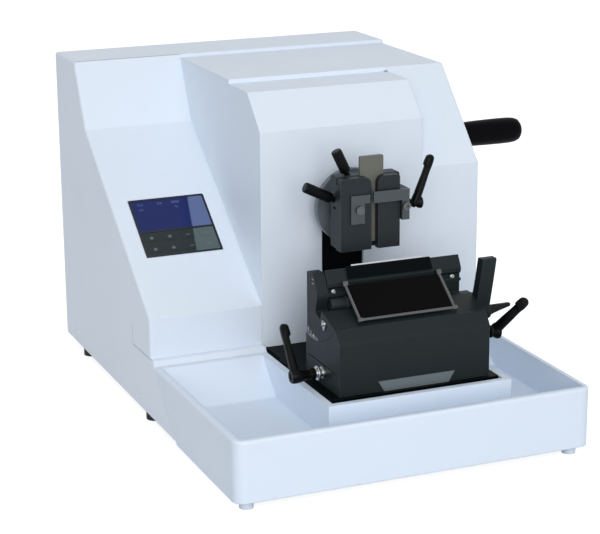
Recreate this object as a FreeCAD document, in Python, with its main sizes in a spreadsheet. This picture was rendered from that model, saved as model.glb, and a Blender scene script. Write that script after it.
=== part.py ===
import FreeCAD, Part
import math
import os
import Sketcher
from FreeCAD import Placement, Rotation, Vector

# Bench microtome with a vertical specimen slide, a blade holder on a dovetail rail and a waste tray.
# The row's origin is the centre of the base of the bounding box. Outlines are drawn in the machine's
# own places: x from the left side, y back from the tray's front, z up from the bench.

# Driving dimensions: lengths in millimetres, angles in degrees, counts as plain numbers
SIZES = {
    # Whole machine
    "body_width": 380,
    "wheel_overhang": 120,
    "overall_depth": 570,
    "overall_height": 350,
    "wall": 3,
    "overrun": 5,
    "skirt_height": 13,
    "edge_round": 3,
    "hand_clearance": 0.3,
    "running_clearance": 0.05,
    # Housing profile
    "console_width": 125,
    "pillar_width": 69,
    "front_depth": 247,
    "wedge_foot": 75,
    "wedge_top": 7,
    "ledge_height": 77,
    "console_lip_height": 119.6,
    "console_knee_depth": 211,
    "console_knee_height": 279,
    "strip_depth": 77,
    "roof_drop": 4,
    "box_drop": 9,
    "pillar_slope_height": 251,
    "pillar_slope_depth": 89.6,
    "box_slope_height": 305,
    "box_slope_depth": 35,
    "groove_width": 1.2,
    "groove_rise": 23,
    "groove_reach": 60,
    # Base casting, feet and screws
    "base_thickness": 15,
    "base_rib": 8,
    "foot_radius": 10,
    "foot_inset": 14,
    "side_screw_height": 25.5,
    "side_screw_front": 280,
    "side_screw_pitch": 121.5,
    "side_screw_head": 3.6,
    "side_screw_sink": 1.2,
    "side_screw_shank": 2,
    "side_screw_length": 12,
    # Plinth, guide plate and rail
    "plinth_depth": 185,
    "plinth_height": 66,
    "guide_plate_inset": 1,
    "guide_plate_setback": 5,
    "guide_plate_thickness": 7,
    "guide_plate_notch": 3,
    "guide_plate_notch_place": 43,
    "rail_centre": 220,
    "rail_height": 11,
    "rail_top_width": 84,
    "rail_foot_width": 71,
    "rail_setback": 8.4,
    "rail_length": 166,
    "rail_screw_head": 4.5,
    "rail_screw_sink": 5,
    "rail_screw_inset": 14,
    # Display panel on the console
    "display_width": 86,
    "display_length": 79,
    "display_side": 20,
    "display_low_share": 0.3,
    "display_depth": 3,
    "display_proud": 0.4,
    "bezel_rim": 2.2,
    "key_band": 33,
    "key_width": 15,
    "key_length": 9,
    "key_proud": 0.8,
    "board_thickness": 1.6,
    # Rear services
    "inlet_width": 48,
    "inlet_height": 27,
    "inlet_depth": 24,
    "inlet_proud": 2,
    "inlet_side": 300,
    "inlet_level": 60,
    "socket_width": 24,
    "socket_height": 16,
    "switch_width": 27,
    "switch_height": 21,
    "switch_gap": 16,
    "vent_width": 60,
    "vent_height": 4,
    "vent_pitch": 12,
    "supply_width": 90,
    "supply_depth": 150,
    "supply_height": 45,
    # Vertical slide
    "head_x": 218,
    "head_level": 224,
    "stroke": 70,
    "slot_half": 24,
    "column_width": 96,
    "column_depth": 14,
    "column_place": 69,
    "column_post": 22,
    "column_top_gap": 7,
    "column_foot": 10,
    "vrail_width": 10,
    "vrail_depth": 10,
    "shoe_width": 20,
    "shoe_depth": 11,
    "shoe_height": 24,
    "shoe_pitch": 60,
    "carriage_half_height": 50,
    "carriage_depth": 50,
    "shield_thickness": 2,
    "shield_width": 66,
    "shield_drop": 98,
    "shield_rise": 78,
    "motor_size": 42,
    "motor_length": 40,
    "feed_screw_radius": 4,
    "feed_screw_tip": 255,
    "yoke_gap": 4,
    "yoke_thickness": 10,
    "yoke_half_height": 18,
    "crank_radius": 35,
    "roller_radius": 9,
    # Handwheel
    "wheel_y": 405,
    "wheel_level": 194,
    "shaft_radius": 10,
    "crank_disc_radius": 46,
    "crank_disc_thickness": 10,
    "crank_pin_gap": 1.5,
    "bearing_width": 10,
    "bearing_radius": 17,
    "housing_radius": 22,
    "housing_flange_radius": 30,
    "housing_flange": 3,
    "pedestal_width": 20,
    "pedestal_depth": 60,
    "wheel_radius": 84,
    "wheel_rim": 15,
    "wheel_thickness": 20,
    "wheel_web": 7,
    "wheel_hub_radius": 24,
    "wheel_gap": 4,
    "cap_radius": 15,
    "cap_height": 4,
    "grip_circle": 66,
    "grip_angle": 27,
    "grip_radius": 15,
    "grip_pin_radius": 5,
    "grip_collar": 2,
    # Specimen feed and orientation
    "cylinder_radius": 21,
    "cylinder_length": 56,
    "ring_radius": 40,
    "ring_front": 222,
    "ring_thickness": 7,
    "gimbal_y": 211,
    "lug_half": 12,
    "lug_inner": 26,
    "lug_outer": 34,
    "lug_round": 7.5,
    "block_half_width": 17,
    "block_half_depth": 7,
    "ear_outer": 27,
    "ear_half_height": 12,
    "ear_round": 8,
    "gimbal_pin_radius": 4,
    "clamp_left": 35.5,
    "clamp_low": 34,
    "clamp_high": 42,
    "clamp_front": 183,
    "clamp_back": 197.5,
    "clamp_slot": 2.5,
    "jaw_front": 171,
    "jaw_back": 179,
    "jaw_split": 220.3,
    "jaw_gap": 7.6,
    "jaw_left": 182,
    "jaw_right": 248.5,
    "jaw_round": 8,
    "jaw_tongue": 12,
    "backing_width": 26,
    "backing_top": 286,
    "backing_drop": 90,
    "bracket_thickness": 2.5,
    "bracket_width": 15,
    "bracket_low": 218.6,
    "bracket_high": 251,
    "strap_drop": 11.5,
    "strap_start": 217,
    "nut_ear_width": 8,
    "jaw_screw_radius": 4.2,
    "jaw_screw_height": 3,
    "clamp_screw_radius": 4,
    "clamp_screw_y": 176,
    "clamp_screw_level": 233,
    "head_lever_reach": 44,
    "head_lever_rise": 15,
    "head_hub_radius": 7,
    "head_hub_length": 11,
    "knob_radius": 5.6,
    "knob_start": 51,
    "knob_length": 25,
    "knob_stem_radius": 3,
    "knob_stem_depth": 8,
    "knob_plane_y": 189,
    "swing_knob_angle": 116,
    "tilt_knob_angle": 153.5,
    # Blade holder base
    "holder_left": 136,
    "holder_width": 165,
    "holder_front": 70.4,
    "holder_back": 154,
    "holder_brow": 128,
    "holder_brow_y": 81,
    "holder_crest": 139,
    "edge_y": 136.8,
    "edge_level": 186.8,
    "seat_radius": 73,
    "slit_width": 1.2,
    "slit_level": 94.5,
    "slit_start": 79,
    "slit_end": 149,
    "slit_depth": 30,
    "base_shaft_y": 108,
    "base_shaft_level": 88,
    "base_shaft_radius": 4,
    "base_shaft_out": 20,
    "base_shaft_in": 30,
    "washer_radius": 7.5,
    "washer_thickness": 2.5,
    "base_hub_radius": 9,
    "base_hub_length": 16,
    "base_lever_reach": 50,
    "base_lever_rise": 6,
    "tilt_hub_y": 92,
    "tilt_hub_level": 112,
    "tilt_shaft_out": 10,
    "tilt_lever_reach": 40,
    "tilt_lever_rise": 22,
    # Tilt segment and ears
    "segment_right": 323,
    "segment_crest_y": 115,
    "segment_crest": 149,
    "segment_floor": 139.5,
    "segment_floor_y": 117.5,
    "segment_back": 151,
    "ear_left_width": 12,
    "ear_right_start": 312,
    "ear_right_top_width": 18,
    "ear_belly_y": 124.4,
    "ear_belly_level": 161.7,
    "ear_top_y": 135,
    "ear_top_level": 182,
    "ear_root_y": 130.7,
    "ear_root_level": 144,
    "ear_corner": 4,
    "right_ear_lean": 16,
    "index_y": 107,
    "index_level": 137,
    "index_width": 9,
    "index_height": 14,
    "index_thickness": 1.2,
    "shift_pivot_y": 110,
    "shift_pivot_level": 128,
    "shift_lever_length": 34,
    "shift_lever_width": 16,
    "shift_lever_thickness": 5,
    # Blade carriage
    "carriage_left": 149,
    "blade_carriage_width": 149,
    "bed_front": 129,
    "bed_back": 149.5,
    "bed_shoulder": 172,
    "bed_step": 3,
    "bed_step_level": 158,
    "bed_groove": 168,
    "bed_groove_depth": 3,
    "blade_length": 80,
    "blade_height": 12,
    "blade_thickness": 0.4,
    "blade_lean_angle": 30,
    "clamp_rod_y": 124.5,
    "clamp_rod_level": 151,
    "clamp_rod_radius": 6.6,
    "clamp_rod_length": 26,
    "collar_radius": 7.2,
    "collar_width": 3,
    "pressure_width": 93,
    "pressure_thickness": 2.4,
    "guard_pivot_y": 125.5,
    "guard_pivot_level": 171,
    "guard_reach_y": 88,
    "guard_reach_level": 144,
    "guard_rod_radius": 1.7,
    "guard_width": 104,
    "guard_ball_radius": 2.5,
    "guard_bush_radius": 3.2,
    "guard_bush_length": 5,
    "guard_plate_thickness": 1.6,
    # Waste tray
    "tray_height": 72,
    "tray_lift": 10,
    "tray_rim": 7,
    "tray_floor": 37,
    "tray_wall": 5,
    "tray_clearance": 0.6,
    "tray_corner": 12,
    "tray_floor_round": 6,
    "tray_foot_radius": 7,
    "tray_foot_inset": 16,
}

doc = FreeCAD.newDocument("Microtome")
sheet = doc.addObject("Spreadsheet::Sheet", "Sizes")
for row, (alias, number) in enumerate(SIZES.items(), start=1):
    sheet.set("A%d" % row, str(number))
    sheet.setAlias("A%d" % row, alias)
doc.recompute()


class Size:
    """A size: its number, and the sheet expression that the model is bound to."""

    def __init__(self, value, text):
        self.value = value
        self.text = text

    def join(self, other, sign, value):
        right = other.text if isinstance(other, Size) else repr(other)
        return Size(value, "(%s %s %s)" % (self.text, sign, right))

    def __add__(self, other):
        return self.join(other, "+", self.value + number_of(other))

    def __sub__(self, other):
        return self.join(other, "-", self.value - number_of(other))

    def __mul__(self, other):
        return self.join(other, "*", self.value * number_of(other))

    def __truediv__(self, other):
        return self.join(other, "/", self.value / number_of(other))

    def __neg__(self):
        return Size(-self.value, "(0 - %s)" % self.text)


def number_of(value):
    """The plain number of a size or a number."""
    return value.value if isinstance(value, Size) else value


class Sheet:
    """Gives each cell of the sheet as a size, by its alias."""

    def __getattr__(self, alias):
        return Size(float(SIZES[alias]), "Sizes." + alias)


S = Sheet()
ZERO = Size(0.0, "0")
PLANES = {"XY": "XY_Plane", "XZ": "XZ_Plane", "YZ": "YZ_Plane"}
ROW_START = (-(S.body_width + S.wheel_overhang) / 2, -S.overall_depth / 2, ZERO)
PIECES = []
CUTS = []


def bind(thing, path, size):
    """Ties a property to the sheet."""
    thing.setExpression(path, size.text)


def circle(a, b, radius):
    """A round outline: its centre and radius."""
    return {"centre": (a, b), "radius": radius}


def rectangle(a0, b0, a1, b1, radius=None):
    """A four-cornered outline with optional round corners."""
    corners = [(a0, b0), (a1, b0), (a1, b1), (a0, b1)]
    if radius is None:
        return corners
    return [corner + (radius,) for corner in corners]


def unit(start, end):
    length = math.hypot(end[0] - start[0], end[1] - start[1])
    return ((end[0] - start[0]) / length, (end[1] - start[1]) / length)


def inset(outline, walls):
    """The outline moved inwards: side i, from corner i to the next, by walls[i]."""
    flat = [(a.value, b.value) for a, b, *_ in outline]
    count = len(flat)
    area = sum(flat[i - 1][0] * flat[i][1] - flat[i][0] * flat[i - 1][1] for i in range(count))
    turn = 1 if area > 0 else -1
    corners = []
    for i in range(count):
        before = unit(flat[i - 1], flat[i])
        after = unit(flat[i], flat[(i + 1) % count])
        n1 = (-before[1] * turn, before[0] * turn)
        n2 = (-after[1] * turn, after[0] * turn)
        cross = n1[0] * n2[1] - n1[1] * n2[0]
        a_share = (n2[1] / cross, -n1[1] / cross)
        b_share = (-n2[0] / cross, n1[0] / cross)
        a = outline[i][0] + walls[i - 1] * a_share[0] + walls[i] * a_share[1]
        b = outline[i][1] + walls[i - 1] * b_share[0] + walls[i] * b_share[1]
        corners.append((a, b))
    return corners


def fix_point(sketch, geometry, end, a, b):
    """Dimensions one point of a sketch from the sketch's origin."""
    for kind, size in (("DistanceX", a), ("DistanceY", b)):
        index = sketch.addConstraint(Sketcher.Constraint(kind, -1, 1, geometry, end, size.value))
        if size.text != "0":
            bind(sketch, "Constraints[%d]" % index, size)


def draw_circle(sketch, loop):
    a, b = loop["centre"]
    shape = Part.Circle(Vector(a.value, b.value, 0), Vector(0, 0, 1), loop["radius"].value)
    index = sketch.addGeometry(shape, False)
    fix_point(sketch, index, 3, a, b)
    mark = sketch.addConstraint(Sketcher.Constraint("Radius", index, loop["radius"].value))
    bind(sketch, "Constraints[%d]" % mark, loop["radius"])


def corner_arc(flat, i, radius):
    """Tangent points, centre and turning side of a round corner."""
    count = len(flat)
    back = unit(flat[i], flat[i - 1])
    ahead = unit(flat[i], flat[(i + 1) % count])
    half = math.acos(back[0] * ahead[0] + back[1] * ahead[1]) / 2
    leg = radius / math.tan(half)
    middle = unit((0, 0), (back[0] + ahead[0], back[1] + ahead[1]))
    reach = radius / math.sin(half)
    centre = (flat[i][0] + middle[0] * reach, flat[i][1] + middle[1] * reach)
    enter = (flat[i][0] + back[0] * leg, flat[i][1] + back[1] * leg)
    leave = (flat[i][0] + ahead[0] * leg, flat[i][1] + ahead[1] * leg)
    left = back[0] * ahead[1] - back[1] * ahead[0] < 0
    return enter, leave, centre, left


def draw_corners(sketch, loop):
    """Closed outline of straight sides, with the corners that have a radius rounded."""
    flat = [(corner[0].value, corner[1].value) for corner in loop]
    count = len(flat)
    arcs = [corner_arc(flat, i, loop[i][2].value) if len(loop[i]) > 2 else None for i in range(count)]
    sides = []
    for i in range(count):
        start = arcs[i][1] if arcs[i] else flat[i]
        following = (i + 1) % count
        end = arcs[following][0] if arcs[following] else flat[following]
        line = Part.LineSegment(Vector(start[0], start[1], 0), Vector(end[0], end[1], 0))
        sides.append(sketch.addGeometry(line, False))
    for i in range(count):
        before = sides[i - 1]
        after = sides[i]
        if arcs[i] is None:
            sketch.addConstraint(Sketcher.Constraint("Coincident", before, 2, after, 1))
            fix_point(sketch, after, 1, loop[i][0], loop[i][1])
            continue
        enter, leave, centre, left = arcs[i]
        first, last = (enter, leave) if left else (leave, enter)
        from_angle = math.atan2(first[1] - centre[1], first[0] - centre[0])
        to_angle = math.atan2(last[1] - centre[1], last[0] - centre[0])
        if to_angle < from_angle:
            to_angle += 2 * math.pi
        ring = Part.Circle(Vector(centre[0], centre[1], 0), Vector(0, 0, 1), loop[i][2].value)
        arc = sketch.addGeometry(Part.ArcOfCircle(ring, from_angle, to_angle), False)
        sketch.addConstraint(Sketcher.Constraint("Tangent", before, 2, arc, 1 if left else 2))
        sketch.addConstraint(Sketcher.Constraint("Tangent", after, 1, arc, 2 if left else 1))
        mark = sketch.addConstraint(Sketcher.Constraint("Radius", arc, loop[i][2].value))
        bind(sketch, "Constraints[%d]" % mark, loop[i][2])
        point = sketch.addGeometry(Part.Point(Vector(flat[i][0], flat[i][1], 0)), True)
        fix_point(sketch, point, 1, loop[i][0], loop[i][1])
        sketch.addConstraint(Sketcher.Constraint("PointOnObject", point, 1, before))
        sketch.addConstraint(Sketcher.Constraint("PointOnObject", point, 1, after))


def sketch_groups(loops):
    """Circles share one sketch, so that rings can be drawn; other outlines have one each."""
    if any(isinstance(loop, dict) for loop in loops):
        return [loops]
    return [[loop] for loop in loops]


class Piece:
    """One sub-part: a body whose features follow the sheet."""

    def __init__(self, node, at=(ZERO, ZERO, ZERO), turn=None):
        self.node = node
        self.body = doc.addObject("PartDesign::Body", node)
        self.body.Label = node
        if turn is not None:
            self.body.Placement = Placement(Vector(0, 0, 0), turn)
        for axis, place, start in zip("xyz", at, ROW_START):
            bind(self.body, "Placement.Base." + axis, place + start)
        PIECES.append(self)

    def sketch(self, plane, loops, level):
        """A sketch on one of the body's origin planes, moved along its normal to level."""
        sketch = self.body.newObject("Sketcher::SketchObject", self.node + "_sketch")
        role = PLANES[plane]
        support = [f for f in self.body.Origin.OriginFeatures if f.Role == role][0]
        sketch.AttachmentSupport = [(support, "")]
        sketch.MapMode = "FlatFace"
        if level.text != "0":
            bind(sketch, ".AttachmentOffset.Base.z", level)
        for loop in loops:
            if isinstance(loop, dict):
                draw_circle(sketch, loop)
            else:
                draw_corners(sketch, loop)
        return sketch

    def span(self, plane, loops, low, high):
        """The sketch and length that reach from low to high along the plane's own axis."""
        level = -high if plane == "XZ" else low
        return self.sketch(plane, loops, level), high - low

    def pad(self, plane, loops, low, high):
        for group in sketch_groups(loops):
            sketch, length = self.span(plane, group, low, high)
            feature = self.body.newObject("PartDesign::Pad", self.node + "_pad")
            feature.Profile = sketch
            bind(feature, "Length", length)
            doc.recompute([feature])
        return self

    def cut(self, plane, loops, low, high):
        for group in sketch_groups(loops):
            sketch, length = self.span(plane, group, low, high)
            before = self.body.Tip.Shape.Volume
            feature = self.body.newObject("PartDesign::Pocket", self.node + "_pocket")
            feature.Profile = sketch
            feature.Reversed = True
            bind(feature, "Length", length)
            doc.recompute([feature])
            CUTS.append((feature, before))
        return self

    def turned(self, profile):
        """Solid of revolution about the body's own Z: profile corners are (radius, height)."""
        sketch = self.sketch("XZ", [profile], ZERO)
        feature = self.body.newObject("PartDesign::Revolution", self.node + "_turned")
        feature.Profile = sketch
        feature.ReferenceAxis = (sketch, ["V_Axis"])
        feature.Angle = 360
        doc.recompute([feature])
        return self

    def arm(self, height, reach, rise, root, tip):
        """Round tapered arm in the body's XZ plane, leaning outwards from the hub."""
        length = math.hypot(reach.value, rise.value)
        cos_share = reach.value / length
        sin_share = rise.value / length
        along = reach / cos_share

        def place(distance, radius):
            return (distance * cos_share - radius * sin_share,
                    height + distance * sin_share + radius * cos_share)

        sketch = self.body.newObject("Sketcher::SketchObject", self.node + "_arm")
        support = [f for f in self.body.Origin.OriginFeatures if f.Role == "XZ_Plane"][0]
        sketch.AttachmentSupport = [(support, "")]
        sketch.MapMode = "FlatFace"
        start = place(ZERO, ZERO)
        end = place(along, ZERO)
        line = Part.LineSegment(Vector(start[0].value, start[1].value, 0),
                                Vector(end[0].value, end[1].value, 0))
        axis = sketch.addGeometry(line, True)
        fix_point(sketch, axis, 1, *start)
        fix_point(sketch, axis, 2, *end)
        profile = [start, place(ZERO, root), place(along, tip) + (tip * 0.9,), end]
        draw_corners(sketch, profile)
        feature = self.body.newObject("PartDesign::Revolution", self.node + "_arm_turned")
        feature.Profile = sketch
        feature.ReferenceAxis = (sketch, ["Axis0"])
        feature.Angle = 360
        doc.recompute([feature])
        return self

    def rod(self, start, direction, radius, length, hole=False):
        """A round rod, or a round hole, from start along a direction."""
        kind = "PartDesign::SubtractiveCylinder" if hole else "PartDesign::AdditiveCylinder"
        before = self.body.Tip.Shape.Volume if hole else 0
        feature = self.body.newObject(kind, self.node + ("_hole" if hole else "_rod"))
        bind(feature, "Radius", radius)
        bind(feature, "Height", length)
        feature.Placement = Placement(Vector(0, 0, 0), Rotation(Vector(0, 0, 1), direction))
        for axis, place in zip("xyz", start):
            bind(feature, "Placement.Base." + axis, place)
        doc.recompute([feature])
        if hole:
            CUTS.append((feature, before))
        return self

    def carve(self, start, sizes, turn):
        """A box-shaped cut with its corner at start, turned as given."""
        before = self.body.Tip.Shape.Volume
        feature = self.body.newObject("PartDesign::SubtractiveBox", self.node + "_carve")
        for path, size in zip(("Length", "Width", "Height"), sizes):
            bind(feature, path, size)
        feature.Placement = Placement(Vector(0, 0, 0), turn)
        for axis, place in zip("xyz", start):
            bind(feature, "Placement.Base." + axis, place)
        doc.recompute([feature])
        CUTS.append((feature, before))
        return self

    def fillet(self, radius, wanted):
        """Rounds the edges for which wanted(start, end) is true of the two end points."""
        tip = self.body.Tip
        names = []
        for index, edge in enumerate(tip.Shape.Edges, start=1):
            ends = [vertex.Point for vertex in edge.Vertexes]
            if len(ends) == 2 and wanted(ends[0], ends[1]):
                names.append("Edge%d" % index)
        feature = self.body.newObject("PartDesign::Fillet", self.node + "_fillet")
        feature.Base = (tip, names)
        bind(feature, "Radius", radius)
        doc.recompute([feature])
        return self


def near(value, size):
    """Whether a coordinate lies on a named place."""
    return abs(value - number_of(size)) < 0.001


TO_X = Rotation(Vector(0, 0, 1), Vector(1, 0, 0))
TO_LEFT = Rotation(Vector(0, 0, 1), Vector(-1, 0, 0))
TO_FRONT = Rotation(Vector(0, 0, 1), Vector(0, -1, 0))
TO_BACK = Rotation(Vector(0, 0, 1), Vector(0, 1, 0))
RIGHT = Vector(1, 0, 0)
LEFT = Vector(-1, 0, 0)
BACK = Vector(0, 1, 0)
FRONT = Vector(0, -1, 0)
UP = Vector(0, 0, 1)

# Places that several pieces share
box_x0 = S.console_width
box_x1 = S.body_width - S.pillar_width
front_y = S.front_depth
back_y = S.overall_depth - S.inlet_proud
strip_y = S.overall_depth - S.strip_depth
skirt_z = S.skirt_height
roof_z = S.overall_height - S.roof_drop
box_z = S.overall_height - S.box_drop
inner_y = front_y + S.wall
base_top = skirt_z + S.base_thickness
wedge_y = front_y - S.wedge_foot
wedge_top_y = front_y - S.wedge_top
pillar_y = front_y + S.pillar_slope_depth
plinth_y = front_y - S.plinth_depth
plinth_top = S.plinth_height
plate_top = plinth_top + S.guide_plate_thickness
rail_top = plate_top + S.rail_height
rail_y0 = plinth_y + S.rail_setback
over = S.overrun


def build_covers():
    """The white housing: two side covers, the rear cover and the plinth."""
    knee_y = front_y + S.console_knee_depth
    console = [(wedge_y, skirt_z), (wedge_top_y, S.ledge_height), (front_y, S.ledge_height),
               (front_y, S.console_lip_height), (knee_y, S.console_knee_height),
               (strip_y, S.overall_height), (strip_y, skirt_z)]
    left = Piece("left_cover")
    left.pad("YZ", [console], ZERO, box_x0)
    left.fillet(S.edge_round, lambda p, q: near(p.x, 0) and near(q.x, 0)
                and not (near(p.z, skirt_z) and near(q.z, skirt_z))
                and not (near(p.y, strip_y) and near(q.y, strip_y)))
    hollow = inset(console, [S.wall] * 5 + [-over, -over])
    left.cut("YZ", [hollow], S.wall, box_x0 + over)
    groove = [(front_y - over, S.ledge_height - S.groove_width),
              (front_y + S.groove_reach, S.ledge_height - S.groove_width),
              (front_y + S.groove_reach, S.ledge_height + S.groove_rise),
              (front_y + S.groove_reach - S.groove_width, S.ledge_height + S.groove_rise),
              (front_y + S.groove_reach - S.groove_width, S.ledge_height),
              (front_y - over, S.ledge_height)]
    left.cut("YZ", [groove], -over, S.groove_width)

    main = Piece("main_cover")
    box = [(front_y, skirt_z), (front_y, S.box_slope_height),
           (front_y + S.box_slope_depth, box_z), (pillar_y, box_z), (pillar_y, roof_z),
           (strip_y, roof_z), (strip_y, skirt_z)]
    pillar = [(front_y, skirt_z), (front_y, S.pillar_slope_height), (pillar_y, roof_z),
              (strip_y, roof_z), (strip_y, skirt_z)]
    wedge = [(wedge_y, skirt_z), (wedge_top_y, S.ledge_height), (inner_y, S.ledge_height),
             (inner_y, skirt_z)]
    main.pad("YZ", [box], box_x0, box_x1)
    main.pad("YZ", [pillar], box_x1, S.body_width)
    main.pad("YZ", [wedge], box_x1, S.body_width)
    main.fillet(S.edge_round, lambda p, q: near(p.x, S.body_width) and near(q.x, S.body_width)
                and not (near(p.z, skirt_z) and near(q.z, skirt_z))
                and not (near(p.y, strip_y) and near(q.y, strip_y)))
    main.cut("YZ", [inset(box, [S.wall] * 5 + [-over, -over])], box_x0 + S.wall, box_x1 - S.wall)
    main.cut("YZ", [inset(pillar, [S.wall] * 3 + [-over, -over])], box_x1 - S.wall,
             S.body_width - S.wall)
    main.cut("YZ", [inset(wedge, [S.wall, S.wall, -over, -over])], box_x1 + S.wall,
             S.body_width - S.wall)
    main.cut("XZ", [rectangle(box_x0 + S.wall, skirt_z - over, box_x1 - S.wall, plinth_top)],
             front_y - over, inner_y)
    main.cut("XY", [rectangle(box_x0 - over, inner_y, box_x0 + S.wall, strip_y + over)],
             skirt_z - over, base_top)
    slot_low = S.head_level - S.stroke - S.slot_half
    slot_high = S.head_level + S.slot_half
    main.cut("XZ", [rectangle(S.head_x - S.slot_half, slot_low, S.head_x + S.slot_half, slot_high,
                              S.slot_half * 0.9)], front_y - over, inner_y + over)
    main.rod((S.body_width - S.wall - over, S.wheel_y, S.wheel_level), RIGHT,
             S.housing_radius + S.hand_clearance, S.wall + over * 2, hole=True)

    rear = Piece("rear_cover")
    shell = [(ZERO, skirt_z), (S.body_width, skirt_z),
             (S.body_width, S.overall_height, S.edge_round), (ZERO, S.overall_height, S.edge_round)]
    rear.pad("XZ", [shell], strip_y, back_y)
    rear.cut("XZ", [rectangle(S.wall, skirt_z - over, S.body_width - S.wall, roof_z - S.wall)],
             strip_y - over, back_y - S.wall)
    half = S.inlet_width / 2
    rise = S.inlet_height / 2
    switch_x = S.inlet_side - half - S.switch_gap - S.switch_width / 2
    windows = [rectangle(S.inlet_side - half, S.inlet_level - rise, S.inlet_side + half,
                         S.inlet_level + rise),
               rectangle(switch_x - S.switch_width / 2, S.inlet_level - S.switch_height / 2,
                         switch_x + S.switch_width / 2, S.inlet_level + S.switch_height / 2)]
    for column in range(2):
        start = S.wall * 12 + (S.vent_width * 1.3) * column
        for step in range(8):
            low = S.console_lip_height + S.vent_pitch * step
            windows.append(rectangle(start, low, start + S.vent_width, low + S.vent_height,
                                     S.vent_height * 0.45))
    rear.cut("XZ", windows, back_y - S.wall - over, back_y + over)

    plinth = Piece("plinth_cover")
    plinth.pad("XY", [rectangle(box_x0, plinth_y, box_x1, front_y)], skirt_z, plinth_top)
    plinth.fillet(S.edge_round, lambda p, q: near(p.y, plinth_y) and near(q.y, plinth_y)
                  and not (near(p.z, skirt_z) and near(q.z, skirt_z)))
    plinth.cut("XY", [rectangle(box_x0 + S.wall, plinth_y + S.wall, box_x1 - S.wall,
                                front_y + over)], skirt_z - over, plinth_top - S.wall)


def build_base():
    """The cast base inside the covers, its feet and the screws that hold the side covers."""
    base = Piece("base_casting")
    inner_back = back_y - S.wall
    tongue_x0 = box_x0 + S.wall
    tongue_x1 = box_x1 - S.wall
    tee = [(S.wall, inner_y), (tongue_x0, inner_y), (tongue_x0, plinth_y + S.wall),
           (tongue_x1, plinth_y + S.wall), (tongue_x1, inner_y), (S.body_width - S.wall, inner_y),
           (S.body_width - S.wall, inner_back), (S.wall, inner_back)]
    base.pad("XY", [tee], skirt_z, base_top)
    base.pad("XY", [rectangle(tongue_x0, plinth_y + S.wall, tongue_x1, front_y)],
             skirt_z, plinth_top - S.wall)
    middle = (tongue_x0 + tongue_x1) / 2
    half_rib = S.base_rib / 2
    pockets = [rectangle(tongue_x0 + S.base_rib, plinth_y + S.wall + S.base_rib, middle - half_rib,
                         front_y - S.base_rib, S.base_rib / 2),
               rectangle(middle + half_rib, plinth_y + S.wall + S.base_rib,
                         tongue_x1 - S.base_rib, front_y - S.base_rib, S.base_rib / 2)]
    base.cut("XY", pockets, skirt_z - over, plinth_top - S.wall - S.base_rib)
    for side, direction in ((S.wall, RIGHT), (S.body_width - S.wall, LEFT)):
        for step in range(3):
            place = (side, S.side_screw_front + S.side_screw_pitch * step, S.side_screw_height)
            base.rod(place, direction, S.side_screw_shank + S.running_clearance,
                     S.side_screw_length, hole=True)

    feet = Piece("rubber_feet")
    spots = [(S.foot_inset, inner_y + S.foot_inset * 2),
             (S.body_width - S.foot_inset, inner_y + S.foot_inset * 2),
             (S.foot_inset, back_y - S.foot_inset * 4), (S.body_width - S.foot_inset,
                                                         back_y - S.foot_inset * 4)]
    feet.pad("XY", [circle(x, y, S.foot_radius) for x, y in spots], ZERO, skirt_z)

    screws = Piece("cover_screws")
    head_start = S.side_screw_sink / 4
    for side in (0, 1):
        for step in range(3):
            y = S.side_screw_front + S.side_screw_pitch * step
            head = circle(y, S.side_screw_height, S.side_screw_head)
            shank = circle(y, S.side_screw_height, S.side_screw_shank)
            if side == 0:
                screws.pad("YZ", [head], head_start, S.side_screw_sink)
                screws.pad("YZ", [shank], S.side_screw_sink, S.side_screw_length)
            else:
                screws.pad("YZ", [head], S.body_width - S.side_screw_sink,
                           S.body_width - head_start)
                screws.pad("YZ", [shank], S.body_width - S.side_screw_length,
                           S.body_width - S.side_screw_sink)
    for node in ("left_cover", "main_cover", "rear_cover"):
        drill_for_screws(node)


def drill_for_screws(node):
    """Counterbored screw holes in the skirt of one cover."""
    cover = [piece for piece in PIECES if piece.node == node][0]
    sides = {"left_cover": ((ZERO, RIGHT),), "main_cover": ((S.body_width, LEFT),),
             "rear_cover": ((ZERO, RIGHT), (S.body_width, LEFT))}[node]
    steps = (2,) if node == "rear_cover" else (0, 1)
    for side, direction in sides:
        for step in steps:
            y = S.side_screw_front + S.side_screw_pitch * step
            start = side - over * direction.x
            cover.rod((start, y, S.side_screw_height), direction,
                      S.side_screw_head + S.running_clearance, over + S.side_screw_sink, hole=True)
            cover.rod((start, y, S.side_screw_height), direction,
                      S.side_screw_shank + S.running_clearance, over + S.wall * 2, hole=True)


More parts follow.
